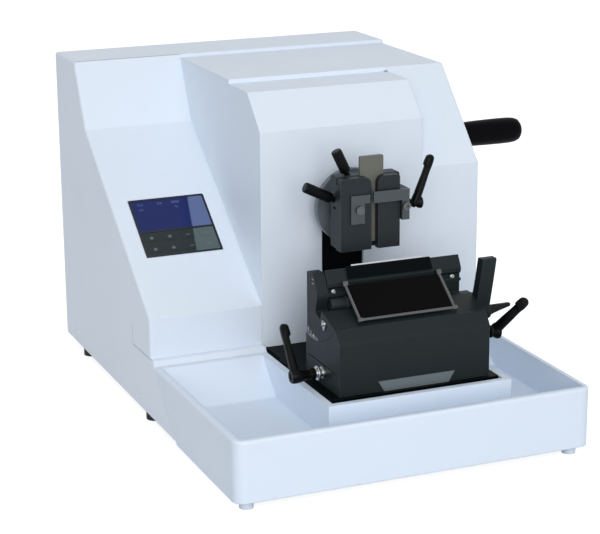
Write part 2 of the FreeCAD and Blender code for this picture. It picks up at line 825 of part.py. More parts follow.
def build_rail():
    """The black guide plate on the plinth, and the dovetail rail with its screws."""
    plate = Piece("guide_plate")
    x0 = box_x0 + S.guide_plate_inset
    x1 = box_x1 - S.guide_plate_inset
    y0 = plinth_y + S.guide_plate_setback
    notch_y = front_y - S.guide_plate_notch_place
    plate.pad("XY", [[(x0, y0), (x1, y0), (x1, front_y), (x0 + S.guide_plate_notch, front_y),
                      (x0 + S.guide_plate_notch, notch_y), (x0, notch_y)]], plinth_top, plate_top)
    half_foot = S.rail_foot_width / 2
    half_top = S.rail_top_width / 2
    trapezoid = [(S.rail_centre - half_foot, plate_top), (S.rail_centre + half_foot, plate_top),
                 (S.rail_centre + half_top, rail_top), (S.rail_centre - half_top, rail_top)]
    rail = Piece("dovetail_rail")
    rail_y1 = rail_y0 + S.rail_length
    rail.pad("XZ", [trapezoid], rail_y0, rail_y1)
    places = [rail_y0 + S.rail_screw_inset, (rail_y0 + rail_y1) / 2, rail_y1 - S.rail_screw_inset]
    holes = [circle(S.rail_centre, y, S.rail_screw_head + S.running_clearance) for y in places]
    rail.cut("XY", holes, rail_top - S.rail_screw_sink, rail_top + over)
    screws = Piece("rail_screws")
    heads = [circle(S.rail_centre, y, S.rail_screw_head) for y in places]
    screws.pad("XY", heads, rail_top - S.rail_screw_sink, rail_top - S.rail_screw_sink / 5)
    sockets = [circle(S.rail_centre, y, S.rail_screw_head / 2) for y in places]
    screws.cut("XY", sockets, rail_top - S.rail_screw_sink / 2, rail_top + over)


def slope_turn():
    """How a panel on the console's slope is turned: its Z stands out of the slope."""
    run = S.console_knee_depth.value
    rise = S.console_knee_height.value - S.console_lip_height.value
    return math.atan2(rise, run), Rotation(Vector(1, 0, 0), math.degrees(math.atan2(rise, run)))


def build_display():
    """The display panel let into the console's slope."""
    angle, turn = slope_turn()
    rise = S.console_knee_height - S.console_lip_height
    corner = (S.display_side, front_y + S.console_knee_depth * S.display_low_share,
              S.console_lip_height + rise * S.display_low_share)
    sin_share = math.sin(angle)
    cos_share = math.cos(angle)
    cover = [piece for piece in PIECES if piece.node == "left_cover"][0]
    depth = S.display_depth + over
    start = (corner[0], corner[1] + depth * sin_share, corner[2] - depth * cos_share)
    cover.carve(start, (S.display_width, S.display_length, depth * 2), turn)

    width = S.display_width
    length = S.display_length
    rim = S.bezel_rim
    bezel = Piece("display_bezel", corner, turn)
    bezel.pad("XY", [rectangle(ZERO, ZERO, width, length, rim)], -S.display_depth, S.display_proud)
    lcd_y = S.key_band + rim
    bezel.cut("XY", [rectangle(rim, lcd_y, width - rim, length - rim)],
              -S.display_depth - over, S.display_proud + over)
    bezel.cut("XY", [rectangle(rim, rim, width - rim, S.key_band)],
              -S.display_depth - over, S.display_proud + over)
    screen = Piece("display_screen", corner, turn)
    screen.pad("XY", [rectangle(rim, lcd_y, width - rim, length - rim)], -S.display_depth, ZERO)
    keys = Piece("key_panel", corner, turn)
    keys.pad("XY", [rectangle(rim, rim, width - rim, S.key_band)], -S.display_depth, ZERO)
    pitch_x = (width - rim * 2) / 4
    pitch_y = (S.key_band - rim) / 2
    pads = []
    for column in range(4):
        for line in range(2):
            x = rim + pitch_x * (column + 0.5) - S.key_width / 2
            y = rim + pitch_y * (line + 0.5) - S.key_length / 2
            pads.append(rectangle(x, y, x + S.key_width, y + S.key_length, S.key_length / 5))
    keys.pad("XY", pads, ZERO, S.key_proud - S.display_proud)
    board = Piece("control_board", corner, turn)
    board.pad("XY", [rectangle(rim, rim, width - rim, length - rim)],
              -S.display_depth - S.board_thickness, -S.display_depth)


def build_services():
    """The power supply, the mains inlet and the rocker switch at the back."""
    supply = Piece("power_supply")
    y0 = strip_y - S.supply_depth
    supply.pad("XY", [rectangle(S.wall * 5, y0, S.wall * 5 + S.supply_width,
                                y0 + S.supply_depth)], base_top, base_top + S.supply_height)
    inlet = Piece("mains_inlet")
    half = S.inlet_width / 2
    rise = S.inlet_height / 2
    body = rectangle(S.inlet_side - half, S.inlet_level - rise, S.inlet_side + half,
                     S.inlet_level + rise)
    inlet.pad("XZ", [body], back_y - S.inlet_depth, back_y)
    flange = rectangle(S.inlet_side - half - S.wall, S.inlet_level - rise - S.wall,
                       S.inlet_side + half + S.wall, S.inlet_level + rise + S.wall, S.wall)
    inlet.pad("XZ", [flange], back_y, S.overall_depth)
    inlet.cut("XZ", [rectangle(S.inlet_side - S.socket_width / 2,
                               S.inlet_level - S.socket_height / 2,
                               S.inlet_side + S.socket_width / 2,
                               S.inlet_level + S.socket_height / 2, S.wall)],
              back_y - S.inlet_depth + S.wall, S.overall_depth + over)
    blade = S.wall / 2
    blades = []
    for offset_share in (-0.3, 0, 0.3):
        x = S.inlet_side + S.socket_width * offset_share
        blades.append(rectangle(x - blade / 2, S.inlet_level - blade, x + blade / 2,
                                S.inlet_level + blade * 1.5))
    inlet.pad("XZ", blades, back_y - S.inlet_depth + S.wall, back_y - S.wall)

    switch_x = S.inlet_side - half - S.switch_gap - S.switch_width / 2
    w = S.switch_width / 2
    g = S.switch_height / 2
    outer = rectangle(switch_x - w, S.inlet_level - g, switch_x + w, S.inlet_level + g)
    inlet.pad("XZ", [outer], back_y - S.inlet_depth, back_y)
    rim = S.wall / 2
    inlet.cut("XZ", [rectangle(switch_x - w + rim, S.inlet_level - g + rim, switch_x + w - rim,
                               S.inlet_level + g - rim)], back_y - S.inlet_depth + S.wall,
              back_y + over)
    inlet.pad("XZ", [rectangle(switch_x, S.inlet_level - rise, S.inlet_side,
                               S.inlet_level + rise)],
              back_y - S.inlet_depth, back_y - S.inlet_depth + S.wall)
    rocker = Piece("power_rocker", (switch_x, back_y, S.inlet_level))
    c = S.hand_clearance
    deep = S.wall * 2
    rocker.pad("YZ", [[(-deep, -g + rim * 2 + c), (ZERO, -g + rim * 2 + c), (-rim, ZERO),
                       (ZERO, g - rim * 2 - c), (-deep, g - rim * 2 - c)]],
               -w + rim + c, w - rim - c)


def build_vertical_slide():
    """The guide column with its rails, and the carriage that the handwheel lifts."""
    column = Piece("guide_column")
    half = S.column_width / 2
    y0 = inner_y + S.column_place - S.wall
    y1 = y0 + S.column_depth
    top = box_z - S.wall - S.column_top_gap
    left = S.head_x - half
    right = S.head_x + half
    column.pad("XZ", [rectangle(left, base_top, right, top)], y0, y1)
    column.cut("XZ", [rectangle(left + S.column_post, base_top + S.column_post * 2,
                                right - S.column_post, top - S.column_post)],
               y0 - over, y1 + over)
    column.pad("XY", [rectangle(left - S.column_foot, y0 - S.column_foot, right + S.column_foot,
                                y1 + S.column_foot)], base_top, base_top + S.column_foot)
    rails = Piece("vertical_rails")
    rail_half = S.vrail_width / 2
    post = half - S.column_post / 2
    rail_y = y0 - S.vrail_depth
    pair = [rectangle(S.head_x + post * side - rail_half, rail_y,
                      S.head_x + post * side + rail_half, y0) for side in (-1, 1)]
    rails.pad("XY", pair, base_top + S.column_foot, top)

    shield_y = inner_y + S.running_clearance * 20
    block_y = shield_y + S.shield_thickness
    block_back = block_y + S.carriage_depth
    low = S.head_level - S.carriage_half_height
    high = S.head_level + S.carriage_half_height
    block = Piece("vertical_carriage")
    block.pad("XZ", [rectangle(left, low, right, high, S.edge_round)], block_y, block_back)
    block.rod((S.head_x, block_y - over, S.head_level), BACK,
              S.cylinder_radius + S.running_clearance, S.carriage_depth + over * 2, hole=True)
    arm_x0 = right
    arm_x1 = right + S.yoke_gap + S.yoke_thickness
    block.pad("XZ", [rectangle(arm_x0, S.head_level - S.yoke_half_height / 2, arm_x1,
                               S.head_level + S.yoke_half_height / 2)],
              block_back - S.shoe_height, block_back)

    shoes = Piece("guide_shoes")
    shoe_half = S.shoe_width / 2
    clear = S.running_clearance * 2
    for side in (-1, 1):
        for lift in (-0.5, 0.5):
            x = S.head_x + post * side
            z = S.head_level + S.shoe_pitch * lift
            u_shape = [(x - shoe_half, block_back), (x + shoe_half, block_back),
                       (x + shoe_half, block_back + S.shoe_depth),
                       (x + rail_half + clear, block_back + S.shoe_depth),
                       (x + rail_half + clear, rail_y - clear),
                       (x - rail_half - clear, rail_y - clear),
                       (x - rail_half - clear, block_back + S.shoe_depth),
                       (x - shoe_half, block_back + S.shoe_depth)]
            shoes.pad("XY", [u_shape], z - S.shoe_height / 2, z + S.shoe_height / 2)

    shield = Piece("slot_shield")
    wide = S.shield_width / 2
    shield.pad("XZ", [rectangle(S.head_x - wide, S.head_level - S.shield_drop, S.head_x + wide,
                                S.head_level + S.shield_rise)], shield_y, block_y)
    shield.rod((S.head_x, shield_y - over, S.head_level), BACK,
               S.cylinder_radius + S.hand_clearance, S.shield_thickness + over * 2, hole=True)

    yoke = Piece("crank_yoke")
    yoke_z = S.wheel_level + S.crank_radius
    reach = S.crank_radius + S.roller_radius + S.wall * 3
    low = yoke_z - S.yoke_half_height
    high = yoke_z + S.yoke_half_height
    yoke.pad("YZ", [rectangle(block_back - S.shoe_height, low, S.wheel_y + reach, high,
                              S.edge_round)], arm_x1 - S.yoke_thickness, arm_x1)
    slot = S.crank_radius + S.roller_radius
    yoke.cut("YZ", [rectangle(S.wheel_y - slot, yoke_z - S.roller_radius, S.wheel_y + slot,
                              yoke_z + S.roller_radius, S.roller_radius * 0.95)],
             arm_x1 - S.yoke_thickness - over, arm_x1 + over)
    block.cut("YZ", [rectangle(block_back - S.shoe_height - over, low - over, block_back + over,
                               high + over)], arm_x1 - S.yoke_thickness, arm_x1 + over)

    motor = Piece("feed_motor")
    size = S.motor_size / 2
    motor.pad("XZ", [rectangle(S.head_x - size, S.head_level - size, S.head_x + size,
                               S.head_level + size, S.edge_round)],
              block_back, block_back + S.motor_length)
    motor.rod((S.head_x, block_back - over, S.head_level), BACK,
              S.feed_screw_radius + S.running_clearance, over + S.motor_length / 4, hole=True)
    screw = Piece("feed_screw", (S.head_x, S.feed_screw_tip, S.head_level), TO_BACK)
    length = block_back + S.motor_length / 4 - S.hand_clearance - S.feed_screw_tip
    screw.turned([(ZERO, ZERO), (S.feed_screw_radius, ZERO, S.feed_screw_radius / 4),
                  (S.feed_screw_radius, length), (ZERO, length)])
    return block_back, arm_x1


def build_handwheel(yoke_x):
    """The shaft in its housing, the crank disc inside and the handwheel outside."""
    disc_x0 = yoke_x + S.crank_pin_gap * 8
    disc_x1 = disc_x0 + S.crank_disc_thickness
    housing_x0 = disc_x1 + S.crank_pin_gap
    housing_x1 = S.body_width + S.housing_flange
    wheel_x0 = housing_x1 + S.wheel_gap / 4
    wheel_x1 = wheel_x0 + S.wheel_thickness
    centre = (S.wheel_y, S.wheel_level)

    housing = Piece("shaft_housing", (housing_x0,) + centre, TO_X)
    length = housing_x1 - housing_x0
    inner = S.bearing_radius
    bore = S.shaft_radius + S.wall
    bearing = S.bearing_width
    outer = S.housing_radius
    flange = S.housing_flange_radius
    housing.turned([(inner, ZERO), (outer, ZERO), (outer, length - S.housing_flange),
                    (flange, length - S.housing_flange), (flange, length, S.wall / 2),
                    (inner, length), (inner, length - bearing), (bore, length - bearing),
                    (bore, bearing), (inner, bearing)])
    pedestal = Piece("shaft_pedestal")
    wide = S.pedestal_depth / 2
    ped_x0 = housing_x0 + S.bearing_width
    pedestal.pad("YZ", [[(S.wheel_y - wide, base_top), (S.wheel_y + wide, base_top),
                         (S.wheel_y + wide, base_top + S.base_thickness),
                         (S.wheel_y + outer + S.wall * 2, S.wheel_level),
                         (S.wheel_y + outer + S.wall * 2, S.wheel_level + outer + S.wall, outer),
                         (S.wheel_y - outer - S.wall * 2, S.wheel_level + outer + S.wall, outer),
                         (S.wheel_y - outer - S.wall * 2, S.wheel_level),
                         (S.wheel_y - wide, base_top + S.base_thickness)]],
                 ped_x0, ped_x0 + S.pedestal_width)
    pedestal.rod((ped_x0 - over, S.wheel_y, S.wheel_level), RIGHT, outer,
                 S.pedestal_width + over * 2, hole=True)

    bearings = Piece("shaft_bearings", (housing_x0,) + centre, TO_X)
    running = S.shaft_radius + S.running_clearance
    for start in (ZERO, length - bearing):
        bearings.pad("XY", [circle(ZERO, ZERO, inner), circle(ZERO, ZERO, running)],
                     start, start + bearing)

    shaft = Piece("handwheel_shaft", (disc_x0,) + centre, TO_X)
    shaft_end = wheel_x1 - disc_x0
    cap = shaft_end + S.cap_height
    shaft.turned([(ZERO, ZERO), (S.shaft_radius, ZERO), (S.shaft_radius, shaft_end),
                  (S.cap_radius, shaft_end), (S.cap_radius, cap, S.cap_height / 2), (ZERO, cap)])

    disc = Piece("crank_disc", (disc_x0,) + centre, TO_X)
    fit = S.shaft_radius + S.running_clearance / 5
    disc.turned([(fit, ZERO), (S.crank_disc_radius, ZERO, S.wall / 2),
                 (S.crank_disc_radius, S.crank_disc_thickness, S.wall / 2),
                 (fit, S.crank_disc_thickness)])
    pin_length = disc_x0 - yoke_x - S.crank_pin_gap
    disc.pad("XY", [circle(-S.crank_radius, ZERO, S.roller_radius * 0.9)], -pin_length, S.wall)

    wheel = Piece("handwheel", (wheel_x0,) + centre, TO_X)
    swing = math.radians(S.grip_angle.value)
    thick = S.wheel_thickness
    rim = S.wheel_radius - S.wheel_rim
    web0 = (S.wheel_thickness - S.wheel_web) / 2
    web1 = (S.wheel_thickness + S.wheel_web) / 2
    wheel.turned([(fit, ZERO), (S.wheel_hub_radius, ZERO), (S.wheel_hub_radius, web0, S.wall),
                  (rim, web0, S.wall), (rim, ZERO, S.wall / 2),
                  (S.wheel_radius, ZERO, S.wheel_rim / 3),
                  (S.wheel_radius, thick, S.wheel_rim / 3), (rim, thick, S.wall / 2),
                  (rim, web1, S.wall), (S.wheel_hub_radius, web1, S.wall),
                  (S.wheel_hub_radius, thick), (fit, thick)])
    wheel.pad("XY", [circle(-S.grip_circle * math.cos(swing), -S.grip_circle * math.sin(swing),
                            S.grip_radius * 0.8)], web0, thick)

    place = (S.wheel_y - S.grip_circle * math.sin(swing),
             S.wheel_level + S.grip_circle * math.cos(swing))
    pin_end = S.body_width + S.wheel_overhang - S.grip_radius
    grip_pin = Piece("grip_pin", (wheel_x1,) + place, TO_X)
    grip_pin.turned([(ZERO, ZERO), (S.grip_radius * 0.7, ZERO),
                     (S.grip_radius * 0.7, S.grip_collar), (S.grip_pin_radius, S.grip_collar),
                     (S.grip_pin_radius, pin_end - wheel_x1, S.grip_pin_radius / 4),
                     (ZERO, pin_end - wheel_x1)])
    grip_x0 = wheel_x1 + S.grip_collar + S.hand_clearance
    grip = Piece("wheel_grip", (grip_x0,) + place, TO_X)
    grip_end = S.body_width + S.wheel_overhang - grip_x0
    hollow = S.grip_pin_radius + S.running_clearance
    r = S.grip_radius
    grip.turned([(hollow, ZERO), (r * 0.8, ZERO, S.wall / 2), (r, S.grip_radius, S.grip_radius),
                 (r, grip_end, r * 0.55), (ZERO, grip_end),
                 (ZERO, pin_end - grip_x0 + S.hand_clearance),
                 (hollow, pin_end - grip_x0 + S.hand_clearance)])


def build_feed():
    """The specimen cylinder and the ring that carries the orienting head."""
    ring_back = S.ring_front + S.ring_thickness
    cylinder = Piece("specimen_cylinder", (S.head_x, ring_back, S.head_level), TO_BACK)
    r = S.cylinder_radius
    bore = S.feed_screw_radius + S.hand_clearance
    cylinder.turned([(ZERO, ZERO), (r, ZERO), (r, S.cylinder_length, S.wall / 2),
                     (bore, S.cylinder_length), (bore, S.ring_thickness), (ZERO, S.ring_thickness)])
    ring = Piece("orientation_ring")
    ring.pad("XZ", [circle(S.head_x, S.head_level, S.ring_radius)], S.ring_front, ring_back)
    for side in (-1, 1):
        z0 = S.head_level + (S.lug_inner if side > 0 else -S.lug_outer)
        z1 = z0 + (S.lug_outer - S.lug_inner)
        tip = S.gimbal_y - S.lug_round
        ring.pad("XY", [[(S.head_x - S.lug_half, tip, S.lug_round),
                         (S.head_x + S.lug_half, tip, S.lug_round),
                         (S.head_x + S.lug_half, S.ring_front),
                         (S.head_x - S.lug_half, S.ring_front)]], z0, z1)
    ring.rod((S.head_x, S.gimbal_y, S.head_level - S.lug_outer - over), UP,
             S.gimbal_pin_radius + S.running_clearance, (S.lug_outer + over) * 2, hole=True)


def build_head():
    """The gimbal block, the specimen clamp with its jaws, and the clamp's lever and knobs."""
    c = S.hand_clearance
    block = Piece("gimbal_block")
    bx = S.block_half_width
    by = S.block_half_depth
    tall = S.lug_inner - c
    block.pad("XY", [rectangle(S.head_x - bx, S.gimbal_y - by, S.head_x + bx, S.gimbal_y + by,
                               S.wall)], S.head_level - tall, S.head_level + tall)
    reach = S.lug_outer
    block.rod((S.head_x, S.gimbal_y, S.head_level - reach), UP, S.gimbal_pin_radius, reach * 2)
    block.rod((S.head_x - S.ear_outer, S.gimbal_y, S.head_level), RIGHT, S.gimbal_pin_radius,
              S.ear_outer * 2)

    clamp = Piece("clamp_body")
    left = S.head_x - S.clamp_left
    right = S.head_x + S.clamp_left
    low = S.head_level - S.clamp_low
    high = S.head_level + S.clamp_high
    clamp.pad("XZ", [rectangle(left, low, right, high, S.wall)], S.clamp_front, S.clamp_back)
    for side in (-1, 1):
        near_x = S.head_x + (bx + c) * side
        far_x = S.head_x + S.ear_outer * side
        lower, upper = (far_x, near_x) if side < 0 else (near_x, far_x)
        tip = S.gimbal_y + S.ear_round
        clamp.pad("YZ", [[(S.clamp_back, S.head_level - S.ear_half_height),
                          (tip, S.head_level - S.ear_half_height, S.ear_round),
                          (tip, S.head_level + S.ear_half_height, S.ear_round),
                          (S.clamp_back, S.head_level + S.ear_half_height)]], lower, upper)
    clamp.rod((S.head_x - S.ear_outer - over, S.gimbal_y, S.head_level), RIGHT,
              S.gimbal_pin_radius + S.running_clearance, (S.ear_outer + over) * 2, hole=True)
    nut_x0 = S.jaw_right + c * 2
    nut_x1 = nut_x0 + S.nut_ear_width
    clamp.pad("XZ", [rectangle(nut_x0, S.bracket_low, nut_x1, S.bracket_high)],
              S.jaw_front - S.bracket_thickness, S.clamp_front)
    clamp.pad("XZ", [rectangle(right - S.wall, S.bracket_low, nut_x1, S.bracket_high)],
              S.clamp_front, S.clamp_front + S.nut_ear_width)
    clamp.rod((nut_x0 - over / 2, S.clamp_screw_y, S.clamp_screw_level), RIGHT,
              S.clamp_screw_radius + S.running_clearance, S.nut_ear_width + over, hole=True)
    clamp.cut("YZ", [rectangle(S.clamp_front - over, S.head_level + S.knob_stem_depth,
                               S.clamp_back - S.wall * 2, S.head_level + S.knob_stem_depth
                               + S.clamp_slot)], left - over, left + S.nut_ear_width)

    for node, angle in (("swing_knob", S.swing_knob_angle), ("tilt_knob", S.tilt_knob_angle)):
        turn = math.radians(angle.value)
        out = Vector(math.cos(turn), 0, math.sin(turn))
        cos_share = math.cos(turn)
        sin_share = math.sin(turn)
        surface = min(number_of(S.clamp_high) / abs(sin_share), number_of(S.clamp_left)
                      / abs(cos_share))
        face = (S.clamp_high / abs(sin_share) if near(surface, S.clamp_high / abs(sin_share))
                else S.clamp_left / abs(cos_share))
        stem = face - S.knob_stem_depth
        start = (S.head_x + stem * cos_share, S.knob_plane_y, S.head_level + stem * sin_share)
        clamp.rod(start, out, S.knob_stem_radius + S.running_clearance,
                  S.knob_stem_depth + over * 2, hole=True)
        knob = Piece(node, start, Rotation(Vector(0, 0, 1), out))
        k0 = S.knob_start - stem
        k1 = k0 + S.knob_length
        r = S.knob_radius
        knob.turned([(ZERO, c), (S.knob_stem_radius, c), (S.knob_stem_radius, k0),
                     (r * 0.8, k0), (r, k0 + r * 0.6), (r, k1, r * 0.5), (ZERO, k1)])

    fixed = Piece("fixed_jaw")
    half_gap = S.jaw_gap / 2
    inner_left = S.jaw_split - half_gap
    inner_right = S.jaw_split + half_gap
    backing_x0 = S.jaw_split - S.backing_width / 2
    backing_x1 = S.jaw_split + S.backing_width / 2
    fixed.pad("XZ", [[(S.jaw_left, low), (inner_left, low), (inner_left, high, S.jaw_round),
                      (S.jaw_left, high, S.wall)]], S.jaw_front, S.jaw_back)
    fixed.pad("XZ", [rectangle(S.jaw_left, low, backing_x0, high - S.jaw_round)],
              S.jaw_back, S.clamp_front)
    backing = Piece("backing_plate")
    backing.pad("XZ", [rectangle(backing_x0, S.backing_top - S.backing_drop, backing_x1,
                                 S.backing_top, S.wall / 2)], S.jaw_back, S.clamp_front)
    jaw = Piece("moving_jaw")
    jaw.pad("XZ", [[(inner_right, low), (S.jaw_right, low), (S.jaw_right, high, S.wall),
                    (inner_right, high, S.jaw_round)]], S.jaw_front, S.jaw_back - c)
    tongue_x1 = S.jaw_right
    tongue_x0 = tongue_x1 - S.jaw_tongue + S.wall
    jaw.pad("XZ", [rectangle(tongue_x0 + S.wall, low + S.wall * 3, tongue_x1,
                             high - S.jaw_round * 2)], S.jaw_back - c, S.clamp_front - c)

    brackets = Piece("jaw_brackets")
    b_front = S.jaw_front - S.bracket_thickness
    b_x1 = S.jaw_left + (inner_left - S.jaw_left) * 0.75
    b_x0 = b_x1 - S.bracket_width
    tongue_z = S.bracket_low + S.strap_drop
    brackets.pad("XZ", [[(b_x0, S.bracket_low), (b_x1, S.bracket_low),
                         (b_x1, S.bracket_high - S.strap_drop), (b_x1 + S.wall * 2,
                                                                 S.bracket_high - S.strap_drop),
                         (b_x1 + S.wall * 2, S.bracket_high - S.wall), (b_x0, S.bracket_high
                                                                       - S.wall)]],
                 b_front, S.jaw_front)
    strap_z = S.bracket_high - S.strap_drop
    strap_front = b_front - S.bracket_thickness
    brackets.pad("XZ", [[(S.strap_start, strap_z), (nut_x0, strap_z), (nut_x0, S.bracket_low),
                         (nut_x1, S.bracket_low), (nut_x1, S.bracket_high),
                         (S.strap_start, S.bracket_high)]], strap_front, b_front)
    screws = Piece("jaw_screws")
    spots = [(b_x0 + S.bracket_width * 0.6, tongue_z + S.wall, b_front),
             (nut_x0 + S.nut_ear_width / 2, tongue_z + S.wall, strap_front)]
    for x, z, face in spots:
        screws.pad("XZ", [circle(x, z, S.jaw_screw_radius)], face - S.jaw_screw_height, face)
    screws.cut("XZ", [circle(x, z, S.jaw_screw_radius / 2) for x, z, face in spots],
               strap_front - S.jaw_screw_height - over, strap_front - S.jaw_screw_height / 2)

    hub_x0 = nut_x1 + S.jaw_gap + c
    screw = Piece("clamp_screw", (S.jaw_right, S.clamp_screw_y, S.clamp_screw_level), TO_X)
    length = hub_x0 - S.jaw_right
    screw.turned([(ZERO, ZERO), (S.clamp_screw_radius, ZERO), (S.clamp_screw_radius, length),
                  (ZERO, length)])
    make_lever("head_clamp_lever", (hub_x0, S.clamp_screw_y, S.clamp_screw_level),
               RIGHT, Vector(0, 0.05, 1), S.head_hub_radius, S.head_hub_length,
               S.head_lever_reach, S.head_lever_rise)


def make_lever(node, at, outward, radial, hub_radius, hub_length, reach, rise):
    """A clamping lever: a round hub and a tapered arm that leans outwards."""
    across = radial - outward * radial.dot(outward)
    across.normalize()
    turn = Rotation(across, outward.cross(across), outward, "ZXY")
    lever = Piece(node, at, turn)
    lever.turned([(ZERO, ZERO), (hub_radius * 0.85, ZERO), (hub_radius, hub_radius * 0.4),
                  (hub_radius, hub_length, hub_radius * 0.4), (ZERO, hub_length)])
    lever.arm(hub_length * 0.55, reach, rise, hub_radius * 0.62, hub_radius * 0.55)
    return lever


def build_holder():
    """The blade holder's base on the rail, with its clamping shaft and levers."""
    x0 = S.holder_left
    x1 = S.holder_left + S.holder_width
    c = S.hand_clearance
    low = plate_top + c
    base = Piece("holder_base")
    base.pad("YZ", [[(S.holder_front, low), (S.holder_front, S.holder_brow, S.wall * 3),
                     (S.holder_brow_y, S.holder_crest, S.wall / 2),
                     (S.holder_back, S.holder_crest), (S.holder_back, low)]], x0, x1)
    base.cut("YZ", [circle(S.edge_y, S.edge_level, S.seat_radius)], x0 - over, x1 + over)
    half_foot = S.rail_foot_width / 2 + c
    half_top = S.rail_top_width / 2 + c
    lean_share = (half_top.value - half_foot.value) / (rail_top.value - plate_top.value)
    drop = over * lean_share
    base.cut("XZ", [[(S.rail_centre - half_foot + drop, plate_top - over),
                     (S.rail_centre + half_foot - drop, plate_top - over),
                     (S.rail_centre + half_top, rail_top + c),
                     (S.rail_centre - half_top, rail_top + c)]],
             S.holder_front - over, S.holder_back + over)
    slit = [(S.slit_start, low - over), (S.slit_start, S.slit_level, S.wall * 4),
            (S.slit_end, S.slit_level), (S.slit_end, S.slit_level + S.slit_width),
            (S.slit_start - S.slit_width, S.slit_level + S.slit_width, S.wall * 4 + S.slit_width),
            (S.slit_start - S.slit_width, low - over)]
    base.cut("YZ", [slit], x0 - over, x0 + S.slit_depth)
    base.rod((x0 - over, S.base_shaft_y, S.base_shaft_level), RIGHT,
             S.base_shaft_radius + S.running_clearance, over + S.base_shaft_in + c, hole=True)
    base.rod((x1 - S.base_shaft_in, S.tilt_hub_y, S.tilt_hub_level), RIGHT,
             S.base_shaft_radius + S.running_clearance, over + S.base_shaft_in, hole=True)

    shaft = Piece("base_clamp_shaft", (x0 - S.base_shaft_out, S.base_shaft_y,
                                       S.base_shaft_level), TO_X)
    r = S.base_shaft_radius
    length = S.base_shaft_out + S.base_shaft_in
    washer = S.washer_radius
    t = S.washer_thickness
    w0 = S.base_shaft_out - t * 3.4
    w1 = S.base_shaft_out - t - c
    shaft.turned([(ZERO, ZERO), (r, ZERO), (r, w0), (washer, w0, t / 4), (washer, w0 + t, t / 4),
                  (r, w0 + t), (r, w1), (washer * 0.8, w1), (washer * 0.8, w1 + t), (r, w1 + t),
                  (r, length), (ZERO, length)])
    make_lever("base_clamp_lever", (x0 - S.base_shaft_out, S.base_shaft_y, S.base_shaft_level),
               LEFT, Vector(0, 0.6, 1), S.base_hub_radius, S.base_hub_length,
               S.base_lever_reach, S.base_lever_rise)
    lock = make_lever("tilt_lock_lever",
                      (x1 + S.tilt_shaft_out, S.tilt_hub_y, S.tilt_hub_level),
                      RIGHT, Vector(0, -0.65, 1), S.base_hub_radius, S.base_hub_length,
                      S.tilt_lever_reach, S.tilt_lever_rise)
    lock.pad("XY", [circle(ZERO, ZERO, r)], c - S.base_shaft_in - S.tilt_shaft_out, S.wall)


def build_segment():
    """The tilting segment in the base's round seat, with its two ears and the index plate."""
    c = S.hand_clearance
    x0 = S.holder_left
    x1 = S.segment_right
    radius = S.seat_radius - c
    segment = Piece("tilt_segment")
    segment.pad("YZ", [circle(S.edge_y, S.edge_level, radius)], x0, x1)
    far = radius * 2
    nose_y = S.holder_brow_y + S.wall
    above = [(S.edge_y - far, S.holder_crest), (nose_y, S.holder_crest),
             (S.segment_crest_y, S.segment_crest), (S.segment_floor_y, S.segment_floor),
             (S.segment_back, S.segment_floor), (S.segment_back, S.edge_level - far),
             (S.edge_y + far, S.edge_level - far), (S.edge_y + far, S.edge_level + far),
             (S.edge_y - far, S.edge_level + far)]
    segment.cut("YZ", [above], x0 - over, x1 + over)
    ear = [(S.segment_floor_y, S.segment_floor - S.wall), (S.segment_floor_y, S.segment_floor),
           (S.ear_root_y, S.ear_root_level), (S.ear_belly_y, S.ear_belly_level, S.ear_corner),
           (S.ear_top_y, S.ear_top_level, S.ear_corner),
           (S.segment_back, S.ear_top_level, S.ear_corner), (S.segment_back, S.segment_floor
                                                            - S.wall)]
    segment.pad("YZ", [ear], x0, x0 + S.ear_left_width)
    lean = S.right_ear_lean
    right_ear = [(S.segment_floor_y, S.segment_floor - S.wall),
                 (S.segment_floor_y - S.wall, S.segment_floor),
                 (S.ear_belly_y - lean / 4, S.ear_belly_level, S.ear_corner),
                 (S.ear_top_y - lean, S.ear_top_level, S.ear_corner),
                 (S.segment_back, S.ear_top_level, S.ear_corner),
                 (S.segment_back, S.segment_floor - S.wall)]
    ear_x1 = S.ear_right_start + S.ear_right_top_width
    segment.pad("YZ", [right_ear], S.ear_right_start, ear_x1)
    segment.cut("XZ", [[(x1, S.segment_floor - S.wall * 2), (ear_x1, S.ear_top_level),
                        (ear_x1 + over, S.ear_top_level + over),
                        (ear_x1 + over, S.segment_floor - S.wall * 2)]],
                S.edge_y - far, S.edge_y + far)
    plate = Piece("index_plate")
    y = S.index_y
    z = S.index_level
    w = S.index_width / 2
    g = S.index_height / 2
    plate.pad("YZ", [[(y - w, z + g * 0.2), (y, z - g, S.wall / 2), (y + w, z + g * 0.2),
                      (y + w, z + g * 0.6, S.wall / 2), (y - w, z + g * 0.6, S.wall / 2)]],
              x0 - S.index_thickness, x0)
    plate.pad("YZ", [circle(y, z + g * 0.2, S.wall * 0.8)], x0 - S.index_thickness * 2,
              x0 - S.index_thickness)
    lever = Piece("shift_lever", (x1 + c, S.shift_pivot_y, S.shift_pivot_level))
    t = S.shift_lever_thickness
    wide = S.shift_lever_width / 2
    length = S.shift_lever_length
    lever.pad("YZ", [[(-wide, -wide, wide * 0.9), (wide, -wide, wide * 0.9),
                      (wide, wide, wide * 0.5), (-length * 0.4, wide * 1.3, wide * 0.3),
                      (-length * 0.8, wide * 0.8, wide * 0.2)]], ZERO, t)
    pin = S.base_shaft_radius
    segment.rod((x1 - S.wall * 3 - c, S.shift_pivot_y, S.shift_pivot_level), RIGHT,
                pin + S.running_clearance, S.wall * 3 + over, hole=True)
    lever.rod((-S.wall * 3, ZERO, ZERO), RIGHT, pin, S.wall * 3 + t)
    lever.pad("YZ", [circle(ZERO, ZERO, pin * 1.5)], t, t + S.wall / 2)


